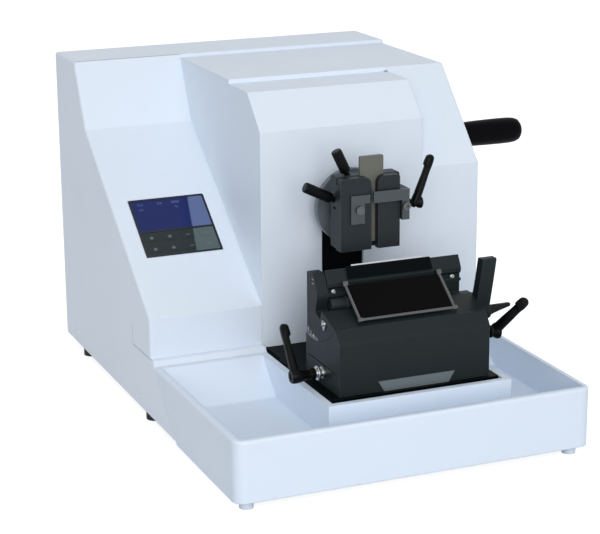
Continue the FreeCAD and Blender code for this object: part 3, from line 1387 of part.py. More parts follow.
def build_blade_carriage():
    """The blade's bed between the ears, the blade, its pressure plate and the finger guard."""
    c = S.hand_clearance
    x0 = S.carriage_left
    x1 = S.carriage_left + S.blade_carriage_width
    lean = math.radians(S.blade_lean_angle.value)
    sin_share = math.sin(lean)
    cos_share = math.cos(lean)
    low = S.segment_floor + c
    step = S.bed_step
    blade_root = (S.edge_y - S.blade_height * sin_share, S.edge_level - S.blade_height * cos_share)
    bed = Piece("blade_carriage")
    behind = S.blade_thickness / cos_share
    crown = (S.edge_y - S.wall * sin_share + behind, S.edge_level - S.wall * cos_share)
    bed.pad("YZ", [[(S.bed_front - step, low), (S.bed_back, low), (S.bed_back, S.bed_shoulder),
                    crown, (blade_root[0] + behind, blade_root[1]),
                    (S.bed_front, S.bed_shoulder), (S.bed_front, S.bed_groove),
                    (S.bed_front + S.bed_groove_depth, S.bed_groove - S.wall),
                    (S.bed_front + S.bed_groove_depth, S.bed_step_level + S.wall),
                    (S.bed_front, S.bed_step_level + S.wall), (S.bed_front, S.bed_step_level),
                    (S.bed_front + step, S.bed_step_level), (S.bed_front + step,
                                                             low + S.wall * 2),
                    (S.bed_front - step, low + S.wall)]], x0, x1)
    blade = Piece("blade")
    half = S.blade_length / 2
    centre = S.head_x
    offset = (S.blade_thickness * cos_share, S.blade_thickness * sin_share)
    blade.pad("YZ", [[(S.edge_y, S.edge_level), blade_root,
                      (blade_root[0] + offset[0], blade_root[1] - offset[1]),
                      (S.edge_y - S.wall / 2 * sin_share + offset[0],
                       S.edge_level - S.wall / 2 * cos_share - offset[1])]],
              centre - half, centre + half)

    press = Piece("pressure_plate")
    t = S.pressure_thickness
    wide = S.pressure_width / 2
    top = (S.edge_y - (S.wall / 2) * sin_share - c, S.edge_level - (S.wall / 2) * cos_share + c)
    mid = (S.edge_y - (S.blade_height + S.wall) * sin_share - c,
           S.edge_level - (S.blade_height + S.wall) * cos_share + c)
    press.pad("YZ", [[(top[0] - c, top[1]), (mid[0] - c, mid[1]), (mid[0] - t - c, mid[1] + t * 0.4),
                      (top[0] - t * 0.6 - c, top[1])]],
              centre - wide, centre + wide)

    rod = Piece("blade_clamp_rod", (x0 + c, S.clamp_rod_y, S.clamp_rod_level), TO_X)
    r = S.clamp_rod_radius
    rod_length = S.clamp_rod_length
    band = S.collar_width
    rod.turned([(ZERO, ZERO), (r, ZERO, S.wall / 3), (r, rod_length - band * 3),
                (S.collar_radius, rod_length - band * 3), (S.collar_radius, rod_length - band * 2),
                (r * 0.8, rod_length - band * 2), (r * 0.8, rod_length - band),
                (S.collar_radius, rod_length - band), (S.collar_radius, rod_length),
                (ZERO, rod_length)])

    guard = Piece("guard_frame")
    half_guard = S.guard_width / 2
    y0 = S.guard_pivot_y
    z0 = S.guard_pivot_level
    y1 = S.guard_reach_y
    z1 = S.guard_reach_level
    run = math.hypot(y1.value - y0.value, z1.value - z0.value)
    along = Vector(0, (y1.value - y0.value) / run, (z1.value - z0.value) / run)
    length = (y0 - y1) / abs(along.y)
    r = S.guard_rod_radius
    guard.pad("YZ", [circle(y1, z1, r)], centre - half_guard, centre + half_guard)
    for side in (-1, 1):
        x = centre + half_guard * side
        guard.rod((x, y0, z0), along, r, length)
        guard.rod((x - S.guard_bush_length / 2, y0, z0), RIGHT, S.guard_bush_radius,
                  S.guard_bush_length)
        guard.rod((x - S.guard_ball_radius, y1, z1), RIGHT, S.guard_ball_radius,
                  S.guard_ball_radius * 2)
    plate = Piece("guard_plate")
    inner = half_guard - r - S.wall / 3
    gap = r + S.wall / 6
    t = S.guard_plate_thickness
    across = Vector(0, -along.z, along.y)
    sign = 1 if across.z > 0 else -1
    ny = across.y * sign
    nz = across.z * sign
    start = (y1 - gap * along.y, z1 - gap * along.z)
    end = (y0 + S.wall * along.y, z0 + S.wall * along.z)
    plate.pad("YZ", [[(start[0] - t / 2 * ny, start[1] - t / 2 * nz),
                      (end[0] - t / 2 * ny, end[1] - t / 2 * nz),
                      (end[0] + t / 2 * ny, end[1] + t / 2 * nz),
                      (start[0] + t / 2 * ny, start[1] + t / 2 * nz)]],
              centre - inner, centre + inner)


def build_tray():
    """The waste tray round the plinth: three joined troughs with a hollow skirt."""
    slope_share = (S.wedge_foot.value - S.wedge_top.value) / (S.ledge_height.value
                                                              - skirt_z.value)
    c = S.tray_clearance

    def back(level, inside):
        """Where the slanted rear end lies at a level, moved forwards by inside."""
        return wedge_y + (level - skirt_z) * slope_share - c - inside

    tray = Piece("section_tray")
    top = S.tray_height
    low = S.tray_lift
    tray.pad("YZ", [[(ZERO, low), (ZERO, top), (back(top, ZERO), top), (back(low, ZERO), low)]],
             ZERO, S.body_width)
    notch_x0 = box_x0 - c
    notch_x1 = box_x1 + c
    notch_y = plinth_y - c
    tray.cut("XY", [rectangle(notch_x0, notch_y, notch_x1, front_y)], low - over, top + over)
    tray.fillet(S.tray_corner, lambda p, q: near(p.y, 0) and near(q.y, 0) and near(p.x, q.x))
    tray.fillet(S.edge_round, lambda p, q: near(p.z, top) and near(q.z, top)
                and (p.y < number_of(S.tray_corner) + 1 or p.x < 1
                     or p.x > number_of(S.body_width) - 1)
                and (q.y < number_of(S.tray_corner) + 1 or q.x < 1
                     or q.x > number_of(S.body_width) - 1))
    floor = S.tray_floor
    rim = S.tray_rim
    high = top + over
    r = S.tray_floor_round
    leg = [(rim, floor, r), (rim, high), (back(high, rim), high), (back(floor, rim), floor, r)]
    tray.cut("YZ", [leg], rim, notch_x0 - rim)
    tray.cut("YZ", [leg], notch_x1 + rim, S.body_width - rim)
    front = [(rim, floor, r), (rim, high), (notch_y - rim, high), (notch_y - rim, floor, r)]
    tray.cut("YZ", [front], rim, S.body_width - rim)
    wall = S.tray_wall
    under = floor - wall
    deep = low - over
    leg = [(wall, deep), (wall, under), (back(under, wall * 1.5), under),
           (back(deep, wall * 1.5), deep)]
    tray.cut("YZ", [leg], wall, notch_x0 - wall)
    tray.cut("YZ", [leg], notch_x1 + wall, S.body_width - wall)
    front = [(wall, deep), (wall, under), (notch_y - wall, under), (notch_y - wall, deep)]
    tray.cut("YZ", [front], wall, S.body_width - wall)

    inset_x = S.tray_foot_inset
    rear = back(low, ZERO) - S.tray_foot_inset
    spots = [(inset_x, inset_x), (S.body_width - inset_x, inset_x), (inset_x, rear),
             (S.body_width - inset_x, rear)]
    tray.pad("XY", [circle(x, y, S.tray_foot_radius) for x, y in spots], ZERO, under)


def check_and_write():
    """Checks every feature and body, then writes one file for each node."""
    doc.recompute()
    bad = []
    for thing in doc.Objects:
        if "Invalid" in thing.State or "Error" in thing.State:
            bad.append("%s %s" % (thing.Name, thing.State))
    for feature, before in CUTS:
        if feature.Shape.Volume > before - 0.001:
            bad.append("%s cuts nothing" % feature.Name)
    for piece in PIECES:
        shape = piece.body.Shape
        if shape.isNull() or not shape.isValid():
            bad.append("%s has no valid shape" % piece.node)
    if bad:
        raise SystemExit("not written: " + "; ".join(bad))
    os.makedirs("parts", exist_ok=True)
    for piece in PIECES:
        piece.body.Shape.exportStep("parts/%s.step" % piece.node)
        print(piece.node, len(piece.body.Shape.Solids), round(piece.body.Shape.Volume))


build_covers()
build_base()
build_rail()
build_display()
build_services()
block_back, yoke_x = build_vertical_slide()
build_handwheel(yoke_x)
build_feed()
build_head()
build_holder()
build_segment()
build_blade_carriage()
build_tray()
check_and_write()
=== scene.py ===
"""Bench microtome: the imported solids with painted, plastic and metal finishes. The levers, knobs,
grip, tilting segment, screw heads, scale marks and screen figures are drawn here in full."""
import math

import bpy
import numpy as np
from mathutils import Matrix, Vector


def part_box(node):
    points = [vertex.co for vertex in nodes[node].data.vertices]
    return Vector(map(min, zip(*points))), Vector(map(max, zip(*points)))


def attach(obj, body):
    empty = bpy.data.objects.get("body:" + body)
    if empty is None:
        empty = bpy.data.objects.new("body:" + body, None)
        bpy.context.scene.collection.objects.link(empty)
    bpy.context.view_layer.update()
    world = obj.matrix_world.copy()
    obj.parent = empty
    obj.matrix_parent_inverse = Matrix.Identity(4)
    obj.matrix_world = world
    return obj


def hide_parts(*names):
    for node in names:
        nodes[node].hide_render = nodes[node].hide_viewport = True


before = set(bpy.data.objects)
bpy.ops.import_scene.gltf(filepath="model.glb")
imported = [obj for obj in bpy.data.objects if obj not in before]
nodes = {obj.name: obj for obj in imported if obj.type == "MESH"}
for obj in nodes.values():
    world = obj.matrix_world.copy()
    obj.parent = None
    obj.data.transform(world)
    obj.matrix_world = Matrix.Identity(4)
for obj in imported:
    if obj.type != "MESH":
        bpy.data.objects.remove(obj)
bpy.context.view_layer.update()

LEFT, RIGHT = np.array((-1.0, 0, 0)), np.array((1.0, 0, 0))
FRONT = np.array((0, -1.0, 0))
UP = np.array((0, 0, 1.0))
FULL_TURN = 2 * np.pi

# Where the scene's origin lies in the machine's own millimetres, which count x from its left side,
# y back from the tray's front and z up from the bench
ORIGIN = np.array((250.0, 285.0, 0.0))
PER_METRE = 1000.0


def spot(x, y, z):
    """A place given in the machine's own millimetres, in the scene's metres."""
    return (np.array((x, y, z)) - ORIGIN) / PER_METRE


def unit(vector):
    vector = np.asarray(vector, float)
    return vector / np.linalg.norm(vector)


def math_node(tree, operation, first, second):
    """One sum, with links or plain numbers."""
    node = tree.nodes.new("ShaderNodeMath")
    node.operation = operation
    for socket, value in zip(node.inputs, (first, second)):
        if isinstance(value, (int, float)):
            socket.default_value = value
        else:
            tree.links.new(value, socket)
    return node.outputs[0]


# Camera, lamps, floor and world

CAMERA_PLACE = (-0.80596, -1.7795, 0.69267)
CAMERA_AHEAD = (0.3695, 0.8881, -0.2733)
CAMERA_ROLL = -0.45
LENS = 111.31
SENSOR_WIDTH = 36.0
FAR_CLIP = 30.0

AIR_COLOR = (0.93, 0.965, 1.0, 1)
AIR_STRENGTH = 0.53
PAPER_COLOR = (0.60, 0.62, 0.64, 1)
PAPER_LIFT = 0.82
PAPER_REACH = 8.0
DIRECT_RAYS = ("Is Camera Ray", "Is Glossy Ray", "Is Transmission Ray")

# Each lamp's name, place, the point it looks at, its size in metres, power in watts and tint
LAMPS = [
    ("key_front", (-0.9, -3.3, 1.35), (0, -0.05, 0.12), 2.4, 64.0, (1.0, 0.99, 0.97)),
    ("fill_top", (-0.3, -0.6, 3.2), (0, 0, 0.1), 2.6, 6.0, (0.95, 0.97, 1.0)),
]


def make_camera():
    """The photograph's own view: from the front left, a little above."""
    ahead = unit(CAMERA_AHEAD)
    side = unit(np.cross(ahead, UP))
    head = np.cross(side, ahead)
    roll = math.radians(CAMERA_ROLL)
    right = math.cos(roll) * side + math.sin(roll) * head
    up = -math.sin(roll) * side + math.cos(roll) * head
    data = bpy.data.cameras.new("view_camera")
    data.lens = LENS
    data.sensor_width = SENSOR_WIDTH
    data.clip_end = FAR_CLIP
    camera = bpy.data.objects.new("view_camera", data)
    turn = Matrix((right, up, -ahead)).transposed().to_4x4()
    camera.matrix_world = Matrix.Translation(CAMERA_PLACE) @ turn
    bpy.context.scene.collection.objects.link(camera)
    bpy.context.scene.camera = camera


def make_lamp(name, place, aim, size, power, tint):
    """A square soft lamp that looks at a point."""
    data = bpy.data.lights.new(name, "AREA")
    data.size = size
    data.energy = power
    data.color = tint
    lamp = bpy.data.objects.new(name, data)
    look = Vector(aim) - Vector(place)
    lamp.matrix_world = Matrix.Translation(place) @ look.to_track_quat("-Z", "Y").to_matrix().to_4x4()
    bpy.context.scene.collection.objects.link(lamp)


def seen_directly(tree):
    """1 where the camera, a mirror or glass looks straight at a surface, and otherwise 0."""
    path = tree.nodes.new("ShaderNodeLightPath")
    total = path.outputs[DIRECT_RAYS[0]]
    for name in DIRECT_RAYS[1:]:
        total = math_node(tree, "MAXIMUM", total, path.outputs[name])
    return total


def make_world():
    """Even studio light, white where it is looked at directly."""
    world = bpy.data.worlds.new("studio")
    bpy.context.scene.world = world
    world.use_nodes = True
    tree = world.node_tree
    tree.nodes.clear()
    out = tree.nodes.new("ShaderNodeOutputWorld")
    air = tree.nodes.new("ShaderNodeBackground")
    air.inputs["Color"].default_value = AIR_COLOR
    air.inputs["Strength"].default_value = AIR_STRENGTH
    white = tree.nodes.new("ShaderNodeBackground")
    white.inputs["Color"].default_value = (1, 1, 1, 1)
    white.inputs["Strength"].default_value = 1.0
    mix = tree.nodes.new("ShaderNodeMixShader")
    tree.links.new(seen_directly(tree), mix.inputs[0])
    tree.links.new(air.outputs[0], mix.inputs[1])
    tree.links.new(white.outputs[0], mix.inputs[2])
    tree.links.new(mix.outputs[0], out.inputs["Surface"])


def make_floor():
    """A flat pale sheet that lightens to white in view and keeps the soft shadow."""
    mesh = bpy.data.meshes.new("studio_floor")
    reach = PAPER_REACH
    corners = [(-reach, -reach, 0), (reach, -reach, 0), (reach, reach, 0), (-reach, reach, 0)]
    mesh.from_pydata(corners, [], [(0, 1, 2, 3)])
    floor = bpy.data.objects.new("studio_floor", mesh)
    bpy.context.scene.collection.objects.link(floor)
    material = bpy.data.materials.new("studio_paper")
    material.use_nodes = True
    tree = material.node_tree
    tree.nodes.clear()
    out = tree.nodes.new("ShaderNodeOutputMaterial")
    paper = tree.nodes.new("ShaderNodeBsdfDiffuse")
    paper.inputs["Color"].default_value = PAPER_COLOR
    glow = tree.nodes.new("ShaderNodeEmission")
    lift = math_node(tree, "MULTIPLY", seen_directly(tree), PAPER_LIFT)
    tree.links.new(lift, glow.inputs["Strength"])
    both = tree.nodes.new("ShaderNodeAddShader")
    tree.links.new(paper.outputs[0], both.inputs[0])
    tree.links.new(glow.outputs[0], both.inputs[1])
    tree.links.new(both.outputs[0], out.inputs["Surface"])
    mesh.materials.append(material)


# Effects that several finishes share


def new_group(name, inputs, outputs):
    """An empty shader group with named sockets: (name, kind, starting value)."""
    group = bpy.data.node_groups.new(name, "ShaderNodeTree")
    for label, kind, value in inputs:
        socket = group.interface.new_socket(label, in_out="INPUT", socket_type=kind)
        if value is not None:
            socket.default_value = value
    for label, kind in outputs:
        group.interface.new_socket(label, in_out="OUTPUT", socket_type=kind)
    return group, group.nodes.new("NodeGroupInput"), group.nodes.new("NodeGroupOutput")


def make_grain_group():
    """Orange peel of paint or the fine texture of a mould: two noises, coarse and fine."""
    finer = 4.3
    group, given, out = new_group("surface_grain", [
        ("Vector", "NodeSocketVector", None), ("Scale", "NodeSocketFloat", 600.0),
        ("Fine Share", "NodeSocketFloat", 0.4)], [("Height", "NodeSocketFloat")])
    coarse = group.nodes.new("ShaderNodeTexNoise")
    coarse.inputs["Detail"].default_value = 2.0
    fine = group.nodes.new("ShaderNodeTexNoise")
    fine.inputs["Detail"].default_value = 3.0
    for node in (coarse, fine):
        group.links.new(given.outputs["Vector"], node.inputs["Vector"])
    group.links.new(given.outputs["Scale"], coarse.inputs["Scale"])
    group.links.new(math_node(group, "MULTIPLY", given.outputs["Scale"], finer),
                    fine.inputs["Scale"])
    part = math_node(group, "MULTIPLY", fine.outputs["Fac"], given.outputs["Fine Share"])
    group.links.new(math_node(group, "ADD", coarse.outputs["Fac"], part), out.inputs["Height"])
    return group


def make_handling_group():
    """Faint smears and dust: a large noise cut by a smaller one, from 0, clean, to 1."""
    smaller = 11.0
    group, given, out = new_group("handling_marks", [
        ("Vector", "NodeSocketVector", None), ("Scale", "NodeSocketFloat", 9.0)],
        [("Mask", "NodeSocketFloat")])
    large = group.nodes.new("ShaderNodeTexNoise")
    large.inputs["Detail"].default_value = 5.0
    large.inputs["Roughness"].default_value = 0.65
    small = group.nodes.new("ShaderNodeTexNoise")
    small.inputs["Detail"].default_value = 4.0
    for node, times in ((large, 1.0), (small, smaller)):
        group.links.new(given.outputs["Vector"], node.inputs["Vector"])
        group.links.new(math_node(group, "MULTIPLY", given.outputs["Scale"], times),
                        node.inputs["Scale"])
    ramp = group.nodes.new("ShaderNodeMapRange")
    ramp.inputs["From Min"].default_value = 0.35
    ramp.inputs["From Max"].default_value = 0.75
    group.links.new(large.outputs["Fac"], ramp.inputs["Value"])
    group.links.new(math_node(group, "MULTIPLY", ramp.outputs["Result"], small.outputs["Fac"]),
                    out.inputs["Mask"])
    return group


def make_edge_group():
    """Rubbed edges: how far the rounded normal leaves the true one, broken up by a noise."""
    group, given, out = new_group("rubbed_edges", [
        ("Vector", "NodeSocketVector", None), ("Width", "NodeSocketFloat", 0.0008),
        ("Reach", "NodeSocketFloat", 0.12), ("Scale", "NodeSocketFloat", 260.0)],
        [("Mask", "NodeSocketFloat")])
    bevel = group.nodes.new("ShaderNodeBevel")
    bevel.samples = 4
    group.links.new(given.outputs["Width"], bevel.inputs["Radius"])
    true = group.nodes.new("ShaderNodeNewGeometry")
    dot = group.nodes.new("ShaderNodeVectorMath")
    dot.operation = "DOT_PRODUCT"
    group.links.new(bevel.outputs["Normal"], dot.inputs[0])
    group.links.new(true.outputs["Normal"], dot.inputs[1])
    away = math_node(group, "SUBTRACT", 1.0, dot.outputs["Value"])
    ramp = group.nodes.new("ShaderNodeMapRange")
    ramp.inputs["From Min"].default_value = 0.02
    group.links.new(given.outputs["Reach"], ramp.inputs["From Max"])
    group.links.new(away, ramp.inputs["Value"])
    noise = group.nodes.new("ShaderNodeTexNoise")
    noise.inputs["Detail"].default_value = 3.0
    group.links.new(given.outputs["Vector"], noise.inputs["Vector"])
    group.links.new(given.outputs["Scale"], noise.inputs["Scale"])
    group.links.new(math_node(group, "MULTIPLY", ramp.outputs["Result"], noise.outputs["Fac"]),
                    out.inputs["Mask"])
    return group


def make_brush_group():
    """Grinding lines: a noise drawn out along one way, as brushed or turned metal has."""
    group, given, out = new_group("grinding_lines", [
        ("Vector", "NodeSocketVector", None), ("Stretch", "NodeSocketVector", (1.0, 1.0, 1.0))],
        [("Height", "NodeSocketFloat")])
    scale = group.nodes.new("ShaderNodeVectorMath")
    scale.operation = "MULTIPLY"
    group.links.new(given.outputs["Vector"], scale.inputs[0])
    group.links.new(given.outputs["Stretch"], scale.inputs[1])
    noise = group.nodes.new("ShaderNodeTexNoise")
    noise.inputs["Scale"].default_value = 1.0
    noise.inputs["Detail"].default_value = 4.0
    noise.inputs["Roughness"].default_value = 0.7
    group.links.new(scale.outputs[0], noise.inputs["Vector"])
    group.links.new(noise.outputs["Fac"], out.inputs["Height"])
    return group


GRAIN = make_grain_group()
HANDLING = make_handling_group()
EDGES = make_edge_group()
BRUSH = make_brush_group()


def place_group(tree, group, **values):
    """Puts a shared effect into a material with its own values."""
    node = tree.nodes.new("ShaderNodeGroup")
    node.node_tree = group
    for label, value in values.items():
        node.inputs[label.replace("_", " ")].default_value = value
    return node


# A full smear darkens the colour by this many times the tone; the depth of relief in metres; and
# the line, its lean and its soft width in metres, past which a painted reflection lightens the film
SMEAR_TONE = 3
RELIEF_DEPTH = 0.0005
REFLECTION_LINE = -0.2165
REFLECTION_LEAN = 0.25
REFLECTION_BLEND = 0.0015


def finish(name, color, rough, metal=0.0, grain=600.0, depth=0.05, smear=0.08, smear_scale=9.0,
           round_edge=0.0008, worn=None, worn_width=0.0008, brushed=None, tone=0.04,
           specular=0.5, second=None):
    """A paint, plastic or metal: colour that varies a little, worn edges, grain and smears.
    second is a lighter colour that takes over past a leaning line: a painted reflection on films."""
    material = bpy.data.materials.new(name)
    material.use_nodes = True
    tree = material.node_tree
    shader = tree.nodes["Principled BSDF"]
    shader.inputs["Metallic"].default_value = metal
    shader.inputs["Specular IOR Level"].default_value = specular
    where = tree.nodes.new("ShaderNodeTexCoord").outputs["Object"]
    marks = place_group(tree, HANDLING, Scale=smear_scale)
    tree.links.new(where, marks.inputs["Vector"])
    base = tree.nodes.new("ShaderNodeMix")
    base.data_type = "RGBA"
    base.inputs["A"].default_value = (*color, 1)
    base.inputs["B"].default_value = (*[c * (1 - tone * SMEAR_TONE) for c in color], 1)
    tree.links.new(marks.outputs["Mask"], base.inputs["Factor"])
    surface = base.outputs["Result"]
    # Past the leaning line a second, lighter colour paints a reflection
    if second is not None:
        surface = add_painted_reflection(tree, where, surface, second)
    if worn is not None:
        edge = place_group(tree, EDGES, Width=worn_width)
        tree.links.new(where, edge.inputs["Vector"])
        rub = tree.nodes.new("ShaderNodeMix")
        rub.data_type = "RGBA"
        rub.inputs["B"].default_value = (*worn, 1)
        tree.links.new(edge.outputs["Mask"], rub.inputs["Factor"])
        tree.links.new(surface, rub.inputs["A"])
        surface = rub.outputs["Result"]
    tree.links.new(surface, shader.inputs["Base Color"])
    dull = math_node(tree, "MULTIPLY", marks.outputs["Mask"], smear)
    tree.links.new(math_node(tree, "ADD", dull, rough), shader.inputs["Roughness"])
    if brushed is None:
        relief = place_group(tree, GRAIN, Scale=grain)
    else:
        relief = place_group(tree, BRUSH, Stretch=brushed)
    tree.links.new(where, relief.inputs["Vector"])
    bump = tree.nodes.new("ShaderNodeBump")
    bump.inputs["Strength"].default_value = depth
    bump.inputs["Distance"].default_value = RELIEF_DEPTH
    tree.links.new(relief.outputs["Height"], bump.inputs["Height"])
    if round_edge > 0:
        soft = tree.nodes.new("ShaderNodeBevel")
        soft.samples = 6
        soft.inputs["Radius"].default_value = round_edge
        tree.links.new(soft.outputs["Normal"], bump.inputs["Normal"])
    tree.links.new(bump.outputs["Normal"], shader.inputs["Normal"])
    return material


def add_painted_reflection(tree, where, surface, color):
    """The painted reflection: a lighter colour where x minus the lean times z, in metres, is past the
    line.
    """
    split = tree.nodes.new("ShaderNodeSeparateXYZ")
    tree.links.new(where, split.inputs[0])
    lean = math_node(tree, "MULTIPLY", split.outputs["Z"], -REFLECTION_LEAN)
    place = math_node(tree, "ADD", split.outputs["X"], lean)
    ramp = tree.nodes.new("ShaderNodeMapRange")
    ramp.inputs["From Min"].default_value = REFLECTION_LINE
    ramp.inputs["From Max"].default_value = REFLECTION_LINE + REFLECTION_BLEND
    tree.links.new(place, ramp.inputs["Value"])
    tones = tree.nodes.new("ShaderNodeMix")
    tones.data_type = "RGBA"
    tones.inputs["B"].default_value = (*color, 1)
    tree.links.new(ramp.outputs["Result"], tones.inputs["Factor"])
    tree.links.new(surface, tones.inputs["A"])
    return tones.outputs["Result"]


def glowing(name, color, strength, rough=0.2):
    """A lit figure on the screen or a printed mark."""
    material = bpy.data.materials.new(name)
    material.use_nodes = True
    shader = material.node_tree.nodes["Principled BSDF"]
    shader.inputs["Base Color"].default_value = (*color, 1)
    shader.inputs["Roughness"].default_value = rough
    shader.inputs["Emission Color"].default_value = (*color, 1)
    shader.inputs["Emission Strength"].default_value = strength
    return material


HOUSING = finish("housing_enamel", (0.775, 0.85, 0.95), 0.42, grain=420.0, depth=0.035, tone=0.012,
                 smear=0.10, smear_scale=6.0, round_edge=0.0012)
TRAY = finish("tray_moulding", (0.765, 0.85, 0.965), 0.45, grain=900.0, depth=0.03, tone=0.012,
              smear=0.12, smear_scale=7.0, round_edge=0.0015)
HOLDER = finish("holder_powder_paint", (0.011, 0.017, 0.018), 0.44, grain=1500.0, depth=0.10,
                tone=0.05, worn=(0.10, 0.12, 0.13), smear=0.14, smear_scale=22.0,
                round_edge=0.0007, specular=0.17)
HEAD_PAINT = finish("clamp_grey_paint", (0.016, 0.021, 0.025), 0.42, grain=1500.0, depth=0.08,
                    tone=0.05, worn=(0.16, 0.18, 0.19), smear=0.14, smear_scale=24.0,
                    round_edge=0.0007, specular=0.2)
RING_PAINT = finish("ring_turned_paint", (0.13, 0.15, 0.175), 0.34, grain=1200.0, depth=0.05,
                    worn=(0.30, 0.32, 0.34), smear_scale=20.0, round_edge=0.0006, specular=0.35)
BLACKED = finish("blackened_steel", (0.002, 0.0035, 0.0045), 0.40, grain=1800.0, depth=0.06,
                 worn=(0.04, 0.045, 0.05), worn_width=0.0006, smear_scale=25.0,
                 round_edge=0.0005, specular=0.03)
GUARD_BLACK = finish("guard_black_sheet", (0.002, 0.002, 0.002), 0.34, grain=1400.0, depth=0.03,
                     smear_scale=18.0, round_edge=0.0003, specular=0.03)
LEVER_BLACK = finish("lever_black_nylon", (0.0025, 0.003, 0.0035), 0.30, grain=2200.0, depth=0.10,
                     smear_scale=30.0, round_edge=0.0, specular=0.09)
GRIP_BLACK = finish("grip_black_plastic", (0.003, 0.003, 0.004), 0.38, grain=1600.0, depth=0.10,
                    smear_scale=24.0, round_edge=0.0, specular=0.03)
STEEL = finish("bright_steel", (0.50, 0.51, 0.52), 0.26, metal=1.0, brushed=(900.0, 60.0, 60.0),
               depth=0.05, smear_scale=30.0, round_edge=0.0002)
GUARD_STEEL = finish("guard_dull_steel", (0.105, 0.11, 0.115), 0.34, metal=0.8,
                     brushed=(700.0, 90.0, 90.0), depth=0.06, smear_scale=40.0,
                     worn=(0.55, 0.56, 0.57), worn_width=0.0004, round_edge=0.0002)
RAIL_STEEL = finish("rail_ground_steel", (0.15, 0.18, 0.19), 0.42, metal=0.3,
                    brushed=(60.0, 900.0, 900.0), depth=0.08, smear_scale=25.0,
                    round_edge=0.0003)
BLADE_STEEL = finish("blade_polished_steel", (0.62, 0.63, 0.64), 0.14, metal=1.0,
                     brushed=(40.0, 1500.0, 1500.0), depth=0.04, round_edge=0.0)
WHEEL_METAL = finish("wheel_cast_alloy", (0.46, 0.48, 0.50), 0.38, metal=0.7, grain=900.0,
                     depth=0.10, smear_scale=14.0, round_edge=0.0008)
BACKING = finish("backing_sand_paint", (0.125, 0.130, 0.110), 0.44, grain=1300.0, depth=0.06,
                 worn=(0.30, 0.31, 0.30), smear_scale=26.0, round_edge=0.0004, specular=0.4)
BRACKET = finish("bracket_oxide", (0.052, 0.062, 0.070), 0.32, metal=0.3, grain=1500.0,
                 depth=0.06, worn=(0.3, 0.31, 0.32), worn_width=0.0005, smear_scale=30.0,
                 round_edge=0.0003)
SHIFT_PAINT = finish("shift_lever_paint", (0.008, 0.009, 0.010), 0.42, grain=1300.0, depth=0.07,
                     worn=(0.10, 0.11, 0.11), smear_scale=28.0, round_edge=0.0006,
                     specular=0.14)
BEZEL = finish("bezel_black_gloss", (0.010, 0.014, 0.022), 0.20, grain=2500.0, depth=0.02,
               smear_scale=30.0, round_edge=0.0004, specular=0.3)
# The key film's lighter part past the leaning line is a painted reflection
KEYS = finish("key_film", (0.018, 0.027, 0.029), 0.24, grain=3200.0, depth=0.05,
              smear_scale=35.0, round_edge=0.0004, specular=0.2, second=(0.10, 0.135, 0.14))
# The screen's lighter part past the leaning line is a painted reflection
SCREEN = finish("screen_blue", (0.011, 0.021, 0.125), 0.14, grain=3000.0, depth=0.004,
                round_edge=0.0, smear=0.10, smear_scale=14.0, tone=0.10, specular=0.14,
                second=(0.115, 0.16, 0.32))
RUBBER = finish("foot_rubber", (0.012, 0.012, 0.012), 0.78, grain=1500.0, depth=0.2,
                smear_scale=30.0, round_edge=0.001)
CAST = finish("cast_base_paint", (0.05, 0.053, 0.056), 0.6, grain=500.0, depth=0.25,
              smear_scale=12.0, round_edge=0.001)
ALLOY = finish("milled_alloy", (0.60, 0.61, 0.62), 0.34, metal=0.9, brushed=(120.0, 900.0, 120.0),
               depth=0.08, smear_scale=20.0, round_edge=0.0005)
BRONZE = finish("shoe_bronze", (0.45, 0.30, 0.12), 0.35, metal=1.0, brushed=(90.0, 90.0, 800.0),
                depth=0.08, round_edge=0.0003)
MOTOR = finish("motor_black_case", (0.02, 0.02, 0.022), 0.5, grain=1100.0, depth=0.1)
BOARD = finish("board_green_lacquer", (0.01, 0.07, 0.03), 0.35, grain=2500.0, depth=0.1)
SUPPLY = finish("supply_zinc_case", (0.48, 0.49, 0.50), 0.42, metal=0.8, grain=300.0, depth=0.1)
INLET = finish("inlet_black_plastic", (0.014, 0.014, 0.015), 0.45, grain=1500.0, depth=0.1,
               smear_scale=30.0, round_edge=0.0004)
PRINT = glowing("scale_print_white", (0.72, 0.76, 0.78), 0.0, 0.5)
FIGURES = glowing("screen_figures", (0.09, 0.13, 0.34), 0.12)
KEY_PRINT = glowing("key_print_grey", (0.085, 0.125, 0.13), 0.0, 0.4)

DRESS = {
    HOUSING: ["left_cover", "main_cover", "rear_cover", "plinth_cover"],
    TRAY: ["section_tray"],
    CAST: ["base_casting", "guide_column", "shaft_pedestal"],
    RUBBER: ["rubber_feet"],
    STEEL: ["cover_screws", "rail_screws", "vertical_rails", "feed_screw", "shaft_bearings",
            "handwheel_shaft", "grip_pin", "specimen_cylinder", "gimbal_block",
            "base_clamp_shaft", "index_plate"],
    GUARD_STEEL: ["guard_frame", "jaw_screws"],
    BLACKED: ["guide_plate", "pressure_plate", "slot_shield", "clamp_screw"],
    RAIL_STEEL: ["dovetail_rail"],
    HOLDER: ["holder_base", "tilt_segment", "blade_carriage"],
    HEAD_PAINT: ["clamp_body", "fixed_jaw", "moving_jaw", "blade_clamp_rod"],
    RING_PAINT: ["orientation_ring"],
    BEZEL: ["display_bezel"],
    SCREEN: ["display_screen"],
    KEYS: ["key_panel"],
    BOARD: ["control_board"],
    INLET: ["mains_inlet", "power_rocker"],
    LEVER_BLACK: ["head_clamp_lever", "base_clamp_lever", "tilt_lock_lever", "swing_knob",
                  "tilt_knob"],
    GRIP_BLACK: ["wheel_grip"],
    SUPPLY: ["power_supply"],
    ALLOY: ["vertical_carriage", "crank_yoke", "shaft_housing", "crank_disc"],
    MOTOR: ["feed_motor"],
    BRONZE: ["guide_shoes"],
    WHEEL_METAL: ["handwheel"],
    BACKING: ["backing_plate"],
    BRACKET: ["jaw_brackets"],
    SHIFT_PAINT: ["shift_lever"],
    BLADE_STEEL: ["blade"],
    GUARD_BLACK: ["guard_plate"],
}


